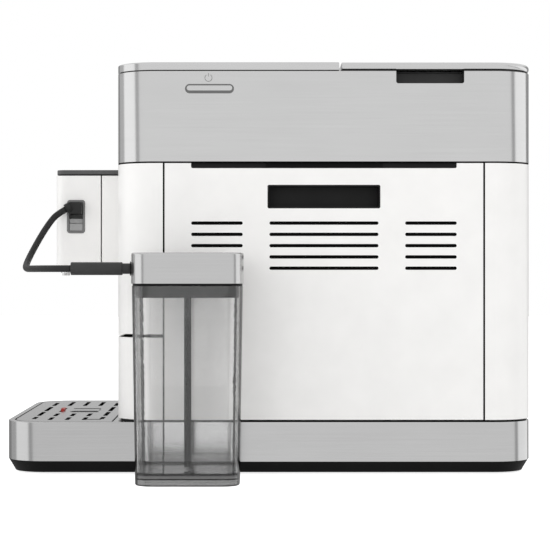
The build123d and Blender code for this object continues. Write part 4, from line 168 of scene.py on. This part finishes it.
class Shader:
    """A material's Principled shader and the textures that feed it."""

    def __init__(self, name, **settings):
        self.material = bpy.data.materials.new(name)
        self.material.use_nodes = True
        self.tree = self.material.node_tree
        self.bsdf = self.tree.nodes["Principled BSDF"]
        for socket, value in settings.items():
            self.bsdf.inputs[socket.replace("_", " ")].default_value = value

    def add(self, kind, **settings):
        node = self.tree.nodes.new(kind)
        for key, value in settings.items():
            setattr(node, key, value)
        return node

    def link(self, start, end):
        self.tree.links.new(start, end)

    def noise(self, stretch, detail=2.0, rough=0.5):
        """Noise in the object's own metres: stretch is how many features a metre holds along X, Y and Z."""
        where = self.add("ShaderNodeTexCoord")
        scaled = self.add("ShaderNodeMapping")
        scaled.inputs["Scale"].default_value = stretch
        grain = self.add("ShaderNodeTexNoise")
        grain.inputs["Scale"].default_value = 1.0
        grain.inputs["Detail"].default_value = detail
        grain.inputs["Roughness"].default_value = rough
        self.link(where.outputs["Object"], scaled.inputs["Vector"])
        self.link(scaled.outputs["Vector"], grain.inputs["Vector"])
        return grain.outputs[0]

    def blend(self, factor, a, b):
        """Number that goes from number a to number b with a factor."""
        between = self.add("ShaderNodeMapRange")
        between.inputs["To Min"].default_value = a
        between.inputs["To Max"].default_value = b
        self.link(factor, between.inputs["Value"])
        return between.outputs[0]

    def colours(self, factor, a, b):
        """Colour that goes from a to b as noise goes from low to high."""
        ramp = self.add("ShaderNodeValToRGB")
        for stop, place, colour in zip(ramp.color_ramp.elements, NOISE_SPAN, (a, b)):
            stop.position = place
            stop.color = (*colour, 1)
        self.link(factor, ramp.inputs["Fac"])
        return ramp.outputs["Color"]

    def roughness(self, factor, a, b):
        self.link(self.blend(factor, a, b), self.bsdf.inputs["Roughness"])

    def bump(self, height, distance, strength):
        bump = self.add("ShaderNodeBump")
        bump.inputs["Strength"].default_value = strength
        bump.inputs["Distance"].default_value = distance
        self.link(height, bump.inputs["Height"])
        self.link(bump.outputs["Normal"], self.bsdf.inputs["Normal"])

    def colour(self, source):
        self.link(source, self.bsdf.inputs["Base Color"])

    def mixed(self, factor, a, b):
        """Colour that goes from a to b with a factor, each a colour or a source of one."""
        between = self.add("ShaderNodeMix", data_type="RGBA")
        self.link(factor, between.inputs[0])
        for socket, colour in ((between.inputs[6], a), (between.inputs[7], b)):
            if isinstance(colour, tuple):
                socket.default_value = (*colour, 1)
            else:
                self.link(colour, socket)
        return between.outputs[2]

    def between(self, factor, a, b):
        """Number that goes from source a to source b with a factor."""
        pick = self.add("ShaderNodeMix", data_type="FLOAT")
        fill(self.tree, pick, (factor, None, a, b))
        return pick.outputs[0]

    def above(self, height, soft):
        """0 under a height in the object and 1 over it, with a soft step between."""
        where = self.add("ShaderNodeTexCoord")
        axes = self.add("ShaderNodeSeparateXYZ")
        step = self.add("ShaderNodeMapRange")
        step.inputs["From Min"].default_value = height - soft / 2
        step.inputs["From Max"].default_value = height + soft / 2
        self.link(where.outputs["Object"], axes.inputs[0])
        self.link(axes.outputs["Z"], step.inputs["Value"])
        return step.outputs[0]

    def by_slope(self, upright, level):
        """Takes one factor on upright faces and another on level ones."""
        facing = self.add("ShaderNodeNewGeometry")
        axes = self.add("ShaderNodeSeparateXYZ")
        size = self.add("ShaderNodeMath", operation="ABSOLUTE")
        self.link(facing.outputs["True Normal"], axes.inputs[0])
        self.link(axes.outputs["Z"], size.inputs[0])
        return self.between(size.outputs[0], upright, level)


NEUTRAL = (1.0, 1.0, 1.0)


def grey(value, tint=NEUTRAL):
    """Linear colour of an 8-bit sRGB grey, with an optional tint."""
    share = value / 255
    linear = share / 12.92 if share <= 0.04045 else ((share + 0.055) / 1.055) ** 2.4
    return tuple(linear * part for part in tint)


# Brushed steel: features a metre along X, Y and Z of its lines, and of the clouds mixed into their colour
BRUSH_UPRIGHT = (9, 9, 1600)
BRUSH_LEVEL = (9, 1600, 9)
BRUSH_DETAIL = 3.0
BRUSH_ROUGHNESS = 0.6
BRUSH_CLOUDS = (16, 16, 50)
BRUSH_CLOUD_SHARE = 0.35
BRUSH_DEPTH = 0.02 * MM
BRUSH_STRENGTH = 0.35


def brushed(name, low, high, rough=(0.11, 0.17)):
    """Steel brushed level: fine lines along the faces, a little lighter and darker."""
    steel = Shader(name, Metallic=1.0)
    upright = steel.noise(BRUSH_UPRIGHT, BRUSH_DETAIL, BRUSH_ROUGHNESS)
    level = steel.noise(BRUSH_LEVEL, BRUSH_DETAIL, BRUSH_ROUGHNESS)
    lines = steel.by_slope(upright, level)
    tone = steel.between(BRUSH_CLOUD_SHARE, lines, steel.noise(BRUSH_CLOUDS))
    steel.colour(steel.colours(tone, grey(low), grey(high)))
    steel.roughness(lines, *rough)
    steel.bump(lines, BRUSH_DEPTH, BRUSH_STRENGTH)
    return steel.material


# Plastic and cast metal: clouds of colour in the one, a fine grain in both
CLOUDS = (35, 35, 35)
FINE_DETAIL = 3.0
GRAIN_STRENGTH = 0.4
COAT_ROUGHNESS = 0.08
CAST_GRAIN = (600, 600, 600)
CAST_DEPTH = 0.03 * MM


def grained(name, rough, specular=0.5, grain=900, depth=0.01, coat=0.0):
    """Shader of plastic with a fine grain, and the clouds for its colour."""
    plastic = Shader(name, Specular_IOR_Level=specular, Coat_Weight=coat, Coat_Roughness=COAT_ROUGHNESS)
    fine = plastic.noise((grain, grain, grain))
    plastic.roughness(fine, *rough)
    plastic.bump(fine, depth * MM, GRAIN_STRENGTH)
    return plastic, plastic.noise(CLOUDS, FINE_DETAIL)


def moulded(name, low, high, rough, tint=NEUTRAL, **feel):
    """Moulded plastic: a fine grain, with slight clouds in its colour."""
    plastic, clouds = grained(name, rough, **feel)
    plastic.colour(plastic.colours(clouds, grey(low, tint), grey(high, tint)))
    return plastic.material


# Clear plastic, with faint moulding streaks
CLEAR_IOR = 1.46
STREAKS = (60, 60, 12)
STREAK_DEPTH = 0.02 * MM
STREAK_STRENGTH = 0.15


def streaked(name, low, high, rough):
    """Shader of clear plastic, and its streaks of colour."""
    clear = Shader(name, Transmission_Weight=1.0, IOR=CLEAR_IOR)
    streaks = clear.noise(STREAKS)
    clear.roughness(streaks, *rough)
    clear.bump(streaks, STREAK_DEPTH, STREAK_STRENGTH)
    return clear, clear.colours(streaks, grey(low), grey(high))


def glassy(name, low, high, rough):
    """Clear or smoked plastic, the same all over."""
    clear, wall = streaked(name, low, high, rough)
    clear.colour(wall)
    return clear.material


# The jug's wall has painted shade where it is seen edgewise; it is also darker beside its floor and in its
# thick base
EDGE_SHADE_BLEND = 0.5
EDGE_SHADE_FACING = (0.40, 0.50)
EDGE_SHADE_GREY = 24
JUG_BASE_Z = 11.6 * MM
JUG_BASE_GREY = 150
JUG_FLOOR_Z = 22.0 * MM
JUG_FLOOR_GREY = 218
JUG_BASE_SOFT = 0.6 * MM


def jug_plastic(name, low, high, rough):
    """Clear jug: a pale grey wall with painted shade on its edges, over a thick base."""
    clear, wall = streaked(name, low, high, rough)
    wall = clear.mixed(clear.above(JUG_FLOOR_Z, JUG_BASE_SOFT), grey(JUG_FLOOR_GREY), wall)
    wall = clear.mixed(clear.above(JUG_BASE_Z, JUG_BASE_SOFT), grey(JUG_BASE_GREY), wall)
    # Painted shade: the wall's colour goes dark where it is seen edgewise
    facing = clear.add("ShaderNodeLayerWeight")
    facing.inputs["Blend"].default_value = EDGE_SHADE_BLEND
    edge_shade = clear.add("ShaderNodeMapRange")
    fill(clear.tree, edge_shade, (facing.outputs["Facing"], *EDGE_SHADE_FACING))
    clear.colour(clear.mixed(edge_shade.outputs[0], wall, grey(EDGE_SHADE_GREY)))
    return clear.material


# The head's cap is a shallow lid; under its seam its colour is painted shade of the dark gap below it
CAP_SEAM_Z = 277.0 * MM
CAP_SEAM_SOFT = 0.1 * MM
CAP_GAP_SHADE_GREY = 12


def cap_plastic(name, low, high, rough, **feel):
    """Moulded grey cap, with painted shade of the gap below its seam."""
    plastic, clouds = grained(name, rough, **feel)
    face = plastic.colours(clouds, grey(low), grey(high))
    # Painted shade: under the seam the cap is near black, for the gap there
    plastic.colour(plastic.mixed(plastic.above(CAP_SEAM_Z, CAP_SEAM_SOFT), grey(CAP_GAP_SHADE_GREY), face))
    return plastic.material


def cast(name, low, high, rough, tint=NEUTRAL):
    """Plain or cast metal with an even grain."""
    metal = Shader(name, Metallic=1.0)
    fine = metal.noise(CAST_GRAIN, FINE_DETAIL)
    metal.colour(metal.colours(fine, grey(low, tint), grey(high, tint)))
    metal.roughness(fine, *rough)
    metal.bump(fine, CAST_DEPTH, GRAIN_STRENGTH)
    return metal.material


# Finishes, each made once and shared by the nodes that have it: the darkest and the lightest grey, then
# the least and the most roughness
WARM = (1.0, 0.992, 0.978)
FINISHES = {
    "steel": brushed("steel", 198, 204),
    # Darker copy of the steel for the base band: painted reflection of the darker floor mirrored in it
    "steel_with_floor_reflection": brushed("steel_with_floor_reflection", 186, 193),
    "tray_steel": brushed("tray_steel", 177, 185),
    "grille_steel": brushed("grille_steel", 166, 173),
    "lid_silver": brushed("lid_silver", 188, 194, (0.13, 0.18)),
    "white": moulded("white", 242, 246, (0.26, 0.34), tint=WARM, grain=450, depth=0.004),
    "black": moulded("black", 22, 28, (0.42, 0.55), specular=0.12),
    # Black of the plinth, also used as painted shade behind the door's top slot
    "plinth_and_shade_black": moulded("plinth_and_shade_black", 12, 17, (0.5, 0.62), specular=0.08),
    "liner": moulded("liner", 60, 66, (0.45, 0.55), specular=0.2),
    "grip_black": moulded("grip_black", 26, 32, (0.45, 0.55), specular=0.2),
    # The head's cap, with painted shade of the gap under its seam
    "cap_grey_and_gap_shade": cap_plastic("cap_grey_and_gap_shade", 78, 84, (0.30, 0.40), specular=0.4),
    "ring_grey": moulded("ring_grey", 96, 102, (0.30, 0.40), specular=0.4),
    "port_grey": moulded("port_grey", 118, 124, (0.35, 0.45), specular=0.35),
    "latch_grey": moulded("latch_grey", 158, 166, (0.35, 0.45), specular=0.4),
    "mid_grey": moulded("mid_grey", 118, 128, (0.4, 0.5), specular=0.4),
    "insert_grey": moulded("insert_grey", 18, 24, (0.40, 0.50), specular=0.12),
    "rubber": moulded("rubber", 22, 28, (0.7, 0.85), specular=0.25, grain=1400, depth=0.03),
    "hose": moulded("hose", 42, 48, (0.5, 0.6), specular=0.15, grain=700, depth=0.01),
    "plug": moulded("plug", 34, 40, (0.4, 0.5), specular=0.25),
    "sleeve": moulded("sleeve", 56, 61, (0.45, 0.55), specular=0.2),
    "nylon": moulded("nylon", 205, 216, (0.45, 0.55), specular=0.4, tint=(1.0, 0.99, 0.95)),
    "red": moulded("red", 176, 186, (0.3, 0.4), tint=(1.0, 0.09, 0.07)),
    "board": moulded("board", 96, 108, (0.35, 0.5), tint=(0.25, 1.0, 0.35)),
    # The jug's finish, with painted shade on its edges
    "smoked": jug_plastic("smoked", 249, 252, (0.0, 0.02)),
    # Black used only for painted shade: in the vent slots, the seams and the grille's lines
    "shade_black": moulded("shade_black", 3, 6, (0.7, 0.8), specular=0.05),
    "clear": glassy("clear", 236, 242, (0.04, 0.08)),
    "hopper_smoke": glassy("hopper_smoke", 120, 130, (0.05, 0.1)),
    "black_glass": moulded("black_glass", 8, 12, (0.05, 0.08), coat=1.0, grain=60, depth=0.001),
    "steel_part": cast("steel_part", 176, 190, (0.3, 0.42)),
    "alloy": cast("alloy", 186, 200, (0.42, 0.55)),
    "brass": cast("brass", 214, 224, (0.28, 0.4), tint=(1.0, 0.74, 0.36)),
    "nozzle_chrome": cast("nozzle_chrome", 214, 222, (0.10, 0.16)),
}

DRESS = {
    "feet": "rubber",
    "base_pan": "plinth_and_shade_black",
    "case_screws": "steel_part",
    "base_band": "steel_with_floor_reflection",
    "carcass": "black",
    "mains_inlet": "black",
    "front_shell": "white",
    "left_panel": "white",
    "rear_shell": "white",
    "service_door": "white",
    "door_grip": "grip_black",
    "top_band": "steel",
    "display_glass": "black_glass",
    "top_frame": "liner",
    "front_top_cover": "steel",
    "tank_lid": "steel",
    "hopper_lid": "steel",
    "tank_rim": "liner",
    "bean_hopper": "hopper_smoke",
    "grinder_housing": "grip_black",
    "upper_burr": "steel_part",
    "lower_burr": "steel_part",
    "burr_gear": "nylon",
    "grinder_pinion": "brass",
    "grinder_motor": "alloy",
    "brew_frame": "mid_grey",
    "brew_motor": "alloy",
    "brew_piston": "alloy",
    "brew_spindle": "steel_part",
    "brew_pinion": "nylon",
    "brew_chamber": "mid_grey",
    "water_pump": "alloy",
    "thermoblock": "alloy",
    "control_board": "board",
    "tank_seat": "black",
    "flow_meter": "nylon",
    "water_hoses": "nylon",
    "water_tank": "clear",
    "head_rail": "black",
    "head_cover": "white",
    "head_back": "white",
    "head_cap": "cap_grey_and_gap_shade",
    "spout_nozzles": "nozzle_chrome",
    "port_frame": "port_grey",
    "port_latch": "latch_grey",
    "milk_frother": "mid_grey",
    "hose_plug": "plug",
    "hose_sleeve": "sleeve",
    "milk_hose": "hose",
    "power_button": "steel",
    "tray_band": "tray_steel",
    "drip_grille": "grille_steel",
    "drip_tray": "black",
    "drawer_front": "white",
    "grounds_bin": "black",
    "tray_float": "red",
    "jug_body": "smoked",
    "jug_insert": "insert_grey",
    "suction_tube": "insert_grey",
    "jug_lid": "lid_silver",
}


def finish_with(piece, name):
    """Gives a piece or a CAD node one finish."""
    piece.data.materials.clear()
    piece.data.materials.append(FINISHES[name])


for node, name in DRESS.items():
    finish_with(NODES[node], name)

# Light passes the clear jug, so that the door behind it stays bright
NODES["jug_body"].visible_shadow = False

# Milk hose: its own route in metres, from the plug round to the sleeve on the jug
HOSE_ROUTE = [
    (0.0560, -0.1925, 0.2430),
    (0.0573, -0.2006, 0.2384),
    (0.0600, -0.2064, 0.2316),
    (0.0648, -0.2130, 0.2209),
    (0.0734, -0.2190, 0.2086),
    (0.0870, -0.2234, 0.1969),
    (0.1070, -0.2242, 0.1889),
    (0.1330, -0.2203, 0.1861),
    (0.1620, -0.2123, 0.1860),
    (0.1815, -0.2023, 0.1860),
    (0.1914, -0.1923, 0.1860),
    (0.1954, -0.1828, 0.1860),
    (0.1954, -0.1735, 0.1860),
]
HOSE_D = 0.006
HOSE_STEPS = 12
HOSE_SIDES = 24


def route_points(route):
    """Points along the smooth NURBS line of a route."""
    curve = bpy.data.curves.new("hose_line", "CURVE")
    curve.dimensions = "3D"
    spline = curve.splines.new("NURBS")
    spline.points.add(len(route) - 1)
    for point, place in zip(spline.points, route):
        point.co = (*place, 1)
    spline.order_u = 3
    spline.use_endpoint_u = True
    spline.resolution_u = HOSE_STEPS
    holder = bpy.data.objects.new("hose_line", curve)
    bpy.context.scene.collection.objects.link(holder)
    line = bpy.data.meshes.new_from_object(holder)
    points = [v.co.copy() for v in line.vertices]
    bpy.data.objects.remove(holder)
    bpy.data.meshes.remove(line)
    return points


hose_path = route_points(HOSE_ROUTE)
hose = tube("milk_hose_tube", hose_path, HOSE_D / 2, HOSE_SIDES)
finish_with(hose, "hose")
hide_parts("milk_hose")
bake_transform(hose)

# Power symbol and a grey ring round the button, wider below it, on the right side of the top band
band_low, band_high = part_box("top_band")
button_low, button_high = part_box("power_button")
SIDE_X = band_high.x
BUTTON_Y = (button_low.y + button_high.y) / 2
BUTTON_Z = (button_low.z + button_high.z) / 2
SYMBOL_R = 3.5 * MM
SYMBOL_LINE = 0.55 * MM
SYMBOL_T = 0.06 * MM
SYMBOL_Y = BUTTON_Y - 0.9 * MM
SYMBOL_Z = BUTTON_Z + 9.8 * MM
SYMBOL_GAP_DEG = 34
SYMBOL_BAR = (1.2 * MM, 4.2 * MM)
ARC_STEPS = 48
RING_L = 44.2 * MM
RING_H = 8.4 * MM
RING_SIDE = 1.5 * MM
RING_TOP = 1.2 * MM
RING_LOW = 2.6 * MM
RING_DEPTH = (0.32 * MM, 0.02 * MM)


def symbol():
    """Generic power sign: an open ring and an upright stroke."""
    points = []
    for radius, way in ((SYMBOL_R, 1), (SYMBOL_R - SYMBOL_LINE, -1)):
        for k in range(ARC_STEPS + 1)[::way]:
            turn = math.radians(SYMBOL_GAP_DEG + (360 - 2 * SYMBOL_GAP_DEG) * k / ARC_STEPS)
            points.append((SYMBOL_Y + radius * math.sin(turn), SYMBOL_Z + radius * math.cos(turn)))
    ring = prism("power_sign_ring", points, (SIDE_X, SIDE_X + SYMBOL_T))
    half = SYMBOL_LINE / 2
    low, high = SYMBOL_BAR
    corners = [
        (SYMBOL_Y - half, SYMBOL_Z + low),
        (SYMBOL_Y + half, SYMBOL_Z + low),
        (SYMBOL_Y + half, SYMBOL_Z + high),
        (SYMBOL_Y - half, SYMBOL_Z + high),
    ]
    stroke = prism("power_sign_stroke", corners, (SIDE_X, SIDE_X + SYMBOL_T))
    return ring, stroke


def slot_outline(y, z, length, height):
    """Outline of a slot with round ends about a point."""
    radius = height / 2
    points = []
    for end in (1, -1):
        middle = y + end * (length / 2 - radius)
        for k in range(ARC_STEPS // 2 + 1):
            turn = math.radians(-90 * end + 360 * k / ARC_STEPS)
            points.append((middle + radius * math.cos(turn), z + radius * math.sin(turn)))
    return points


for piece in symbol():
    finish_with(piece, "mid_grey")
    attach(piece, "machine")

# Grey ring round the button, wider below it than above
ring_plate = prism(
    "button_ring",
    slot_outline(BUTTON_Y, BUTTON_Z, RING_L, RING_H),
    (SIDE_X - RING_DEPTH[0], SIDE_X - RING_DEPTH[1]),
    slot_outline(
        BUTTON_Y,
        BUTTON_Z + (RING_LOW - RING_TOP) / 2,
        RING_L - 2 * RING_SIDE,
        RING_H - RING_TOP - RING_LOW,
    ),
)
finish_with(ring_plate, "ring_grey")
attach(ring_plate, "machine")

# Black plates just under the face of the service door's vent slots: painted shade for the dark inside behind
# them, in metres
VENT_MIDS = (-0.0471, 0.04965, 0.1464)
VENT_LENGTHS = (0.0466, 0.0986, 0.0466)
VENT_TOP_Z = 0.2274
VENT_PITCH = 0.0102
VENT_ROWS = 5
VENT_H = 0.00307
VENT_SHADE_DEPTH = (1.6 * MM, 0.05 * MM)
for group, (middle, length) in enumerate(zip(VENT_MIDS, VENT_LENGTHS)):
    for row in range(VENT_ROWS):
        rim = slot_outline(middle, VENT_TOP_Z - row * VENT_PITCH, length, VENT_H)
        vent_shade_plate = prism(f"vent_shade_{group}_{row}", rim, (SIDE_X - VENT_SHADE_DEPTH[0], SIDE_X - VENT_SHADE_DEPTH[1]))
        finish_with(vent_shade_plate, "shade_black")
        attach(vent_shade_plate, "door")

# Painted shade in the seams of the shells: black strips a little under the surface
door_low, door_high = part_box("service_door")
shell_low, shell_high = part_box("front_shell")
rear_low, rear_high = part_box("rear_shell")
base_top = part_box("base_band")[1].z
PLAN_CORNER = 36.0 * MM
CORNER_STEPS = 16
SEAM_SHADE_FIT = 0.05 * MM
SEAM_SHADE_DEPTH = (1.8 * MM, 0.2 * MM)


def plan_points(inset):
    """Rounded plan of the body, drawn in by an inset."""
    radius = PLAN_CORNER - inset
    points = []
    for quarter, (x, y) in enumerate(((1, 1), (-1, 1), (-1, -1), (1, -1))):
        middle_x = x * (SIDE_X - PLAN_CORNER)
        middle_y = (rear_high.y if y > 0 else shell_low.y) - y * PLAN_CORNER
        for k in range(CORNER_STEPS + 1):
            turn = math.radians(90 * (quarter + k / CORNER_STEPS))
            points.append((middle_x + radius * math.cos(turn), middle_y + radius * math.sin(turn)))
    return points


def plan_ring(name, insets, heights):
    """Thin wall along the body's plan between two heights."""
    outer = plan_points(insets[1])
    inner = plan_points(insets[0])
    count = len(outer)
    verts = [(x, y, z) for z in heights for loop in (outer, inner) for x, y in loop]
    faces = []
    for k in range(count):
        n = (k + 1) % count
        faces.append((k, n, count + n, count + k))
        faces.append((2 * count + k, 2 * count + n, 3 * count + n, 3 * count + k))
        faces.append((k, n, 2 * count + n, 2 * count + k))
        faces.append((count + k, count + n, 3 * count + n, 3 * count + k))
    return add_mesh(name, verts, faces, smooth=False)


def rectangle(y, z):
    """Outline between two depths and two heights."""
    return [(y[0], z[0]), (y[1], z[0]), (y[1], z[1]), (y[0], z[1])]


shade_strips = [plan_ring("seam_gasket_top", SEAM_SHADE_DEPTH, (door_high.z + SEAM_SHADE_FIT, band_low.z - SEAM_SHADE_FIT))]
side_seams = {
    "front": ((shell_high.y + SEAM_SHADE_FIT, door_low.y - SEAM_SHADE_FIT), (door_low.z, door_high.z)),
    "rear": ((door_high.y + SEAM_SHADE_FIT, rear_low.y - SEAM_SHADE_FIT), (door_low.z, door_high.z)),
    "low": ((door_low.y, rear_high.y - PLAN_CORNER), (base_top + SEAM_SHADE_FIT, door_low.z - SEAM_SHADE_FIT)),
}
for name, (span, rise) in side_seams.items():
    for side, label in ((1, "right"), (-1, "left")):
        depth = sorted((side * (SIDE_X - SEAM_SHADE_DEPTH[0]), side * (SIDE_X - SEAM_SHADE_DEPTH[1])))
        shade_strips.append(prism(f"seam_shade_strip_{name}_{label}", rectangle(span, rise), depth))
for shade_strip in shade_strips:
    finish_with(shade_strip, "shade_black")
    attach(shade_strip, "machine")

# Painted shade behind the middle of the slot along the door's top: a black plate
SLOT_SHADE_SPAN = (-3.0 * MM, 103.0 * MM)
SLOT_SHADE_RISE = (272.0 * MM, 281.6 * MM)
SLOT_SHADE_DEPTH = (2.65 * MM, 2.55 * MM)
slot_shade = prism(
    "slot_shade_plate",
    rectangle(SLOT_SHADE_SPAN, SLOT_SHADE_RISE),
    (SIDE_X - SLOT_SHADE_DEPTH[0], SIDE_X - SLOT_SHADE_DEPTH[1]),
)
finish_with(slot_shade, "plinth_and_shade_black")
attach(slot_shade, "machine")

# Shadow lines of the grille's cup pad and side groove: X and Y from and to in mm, then the level
LINE_T = 0.05 * MM
PAD_TOP_Z = 48.0 * MM
GRILLE_TOP_Z = 47.4 * MM
GRILLE_LINES = {
    "pad_middle": ((-17.0, -11.5), (-191.9, -165.1), PAD_TOP_Z),
    "pad_edge": ((15.2, 21.5), (-191.5, -164.8), GRILLE_TOP_Z),
    "side": ((105.5, 111.0), (-170.3, -154.6), GRILLE_TOP_Z),
}
for name, ((near, far), (front, rear), level) in GRILLE_LINES.items():
    corners = [(near * MM, front * MM), (far * MM, front * MM), (far * MM, rear * MM), (near * MM, rear * MM)]
    line = laid(f"grille_line_{name}", corners, (level, level + LINE_T))
    finish_with(line, "shade_black")
    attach(line, "grille")

# Floor and backdrop: white to the camera, and it keeps a soft shadow
FLOOR_HALF = 6.0
FLOOR_GLOW = 0.80
FLOOR_THROUGH = 0.30
FLOOR_COLOUR = (0.86, 0.86, 0.86, 1)


def white_floor():
    """Diffuse floor that glows for the camera, to meet the white behind it, and a little through the jug."""
    material = bpy.data.materials.new("floor_white")
    material.use_nodes = True
    tree = material.node_tree
    tree.nodes.remove(tree.nodes["Principled BSDF"])
    out = tree.nodes["Material Output"]
    seen = tree.nodes.new("ShaderNodeLightPath")
    glow = tree.nodes.new("ShaderNodeEmission")
    matt = tree.nodes.new("ShaderNodeBsdfDiffuse")
    total = tree.nodes.new("ShaderNodeAddShader")
    level = tree.nodes.new("ShaderNodeMath")
    level.operation = "MULTIPLY"
    level.inputs[1].default_value = FLOOR_GLOW
    through = tree.nodes.new("ShaderNodeMath")
    through.operation = "MULTIPLY_ADD"
    through.inputs[1].default_value = FLOOR_THROUGH
    matt.inputs["Color"].default_value = FLOOR_COLOUR
    tree.links.new(seen.outputs["Is Camera Ray"], level.inputs[0])
    tree.links.new(seen.outputs["Is Transmission Ray"], through.inputs[0])
    tree.links.new(level.outputs[0], through.inputs[2])
    tree.links.new(through.outputs[0], glow.inputs["Strength"])
    tree.links.new(glow.outputs[0], total.inputs[0])
    tree.links.new(matt.outputs[0], total.inputs[1])
    tree.links.new(total.outputs[0], out.inputs["Surface"])
    return material


floor_corners = [(x * FLOOR_HALF, y * FLOOR_HALF, 0) for x, y in ((-1, -1), (1, -1), (1, 1), (-1, 1))]
floor = add_mesh("floor", floor_corners, [(0, 1, 2, 3)], smooth=False)
floor.data.materials.append(white_floor())
floor.visible_glossy = False

# World: white where it is seen, a little lower where it only lights. Mirrored in the steel it is a
# white studio with soft bright screens and dark gaps, given as levels by azimuth from the right side.
WORLD_LIGHT = 0.86
SCREENS = [
    (-180, 0.60),
    (-168, 0.52),
    (-160, 0.30),
    (-143, 0.35),
    (-138, 0.62),
    (-114, 0.66),
    (-109, 1.32),
    (-66, 1.32),
    (-63, 0.56),
    (-54, 0.56),
    (-50, 1.0),
    (59, 1.0),
    (63, 0.50),
    (71, 0.50),
    (75, 1.28),
    (125, 1.28),
    (130, 0.40),
    (160, 0.35),
    (168, 0.52),
    (180, 0.60),
]
SCREEN_MOST = 1.5
SCREEN_TOP = (0.25, 0.45)
SCREEN_LEAN = 0.185
SCREEN_LEVEL_Z = 0.087
world = bpy.data.worlds.new("studio")
bpy.context.scene.world = world
world.use_nodes = True
sky = world.node_tree
back = sky.nodes["Background"]
back.inputs["Color"].default_value = (*NEUTRAL, 1)
rays = sky.nodes.new("ShaderNodeLightPath")


def sky_math(operation, a, b=None):
    """Arithmetic in the world's tree, on sockets or numbers."""
    node = sky.nodes.new("ShaderNodeMath")
    node.operation = operation
    fill(sky, node, (a, b))
    return node.outputs[0]


def sky_mix(factor, a, b):
    """Goes from a to b with a factor."""
    node = sky.nodes.new("ShaderNodeMix")
    node.data_type = "FLOAT"
    fill(sky, node, (factor, None, a, b))
    return node.outputs[0]


way = sky.nodes.new("ShaderNodeTexCoord")
parts = sky.nodes.new("ShaderNodeSeparateXYZ")
sky.links.new(way.outputs["Generated"], parts.inputs[0])
azimuth = sky_math("ARCTAN2", parts.outputs["Y"], parts.outputs["X"])
turn = sky_math("ADD", sky_math("MULTIPLY", azimuth, 0.5 / math.pi), 0.5)
lean = sky_math("MULTIPLY", sky_math("SUBTRACT", parts.outputs["Z"], SCREEN_LEVEL_Z), SCREEN_LEAN)
turn = sky_math("FRACT", sky_math("ADD", turn, lean))
screens = sky.nodes.new("ShaderNodeValToRGB")
stops = screens.color_ramp.elements
while len(stops) < len(SCREENS):
    stops.new(0.5)
for stop, (angle, level) in zip(stops, SCREENS):
    stop.position = (angle + 180) / 360
for stop, (angle, level) in zip(stops, SCREENS):
    share = level / SCREEN_MOST
    stop.color = (share, share, share, 1)
sky.links.new(turn, screens.inputs["Fac"])
mirrored = sky_math("MULTIPLY", screens.outputs["Color"], SCREEN_MOST)
height = sky.nodes.new("ShaderNodeMapRange")
fill(sky, height, (sky_math("ABSOLUTE", parts.outputs["Z"]), *SCREEN_TOP))
mirrored = sky_mix(height.outputs[0], mirrored, 1.0)
seen = sky_math("MAXIMUM", rays.outputs["Is Camera Ray"], rays.outputs["Is Transmission Ray"])
strength = sky_mix(seen, WORLD_LIGHT, 1.0)
strength = sky_mix(rays.outputs["Is Glossy Ray"], strength, mirrored)
sky.links.new(strength, back.inputs["Strength"])


# Point on the machine that the lamps face
MIDDLE = (0.05, 0.0, 0.19)


def panel(name, at, size, glow):
    """Soft lamp: a rectangle that faces the machine's middle, not seen in its mirrored steel."""
    lamp = bpy.data.lights.new(name, "AREA")
    lamp.shape = "RECTANGLE"
    lamp.size = size[0]
    lamp.size_y = size[1]
    lamp.energy = glow * math.pi * size[0] * size[1]
    piece = bpy.data.objects.new(name, lamp)
    bpy.context.scene.collection.objects.link(piece)
    piece.location = at
    piece.rotation_euler = (Vector(MIDDLE) - Vector(at)).to_track_quat("-Z", "Y").to_euler()
    piece.visible_glossy = False


# Lamps: place, width and height in metres, then glow
LAMPS = {
    "lamp_side": ((2.7, 0.1, 0.50), (3.0, 2.0), 0.84),
    "lamp_front": ((0.45, -1.7, 0.45), (1.4, 1.6), 0.85),
    "lamp_rear": ((0.7, 1.7, 0.55), (1.4, 1.6), 0.12),
    "lamp_top": ((0.5, -0.1, 1.9), (1.6, 1.6), 0.2),
}
for name, (at, size, glow) in LAMPS.items():
    panel(name, at, size, glow)

bpy.context.scene.view_settings.view_transform = "Standard"
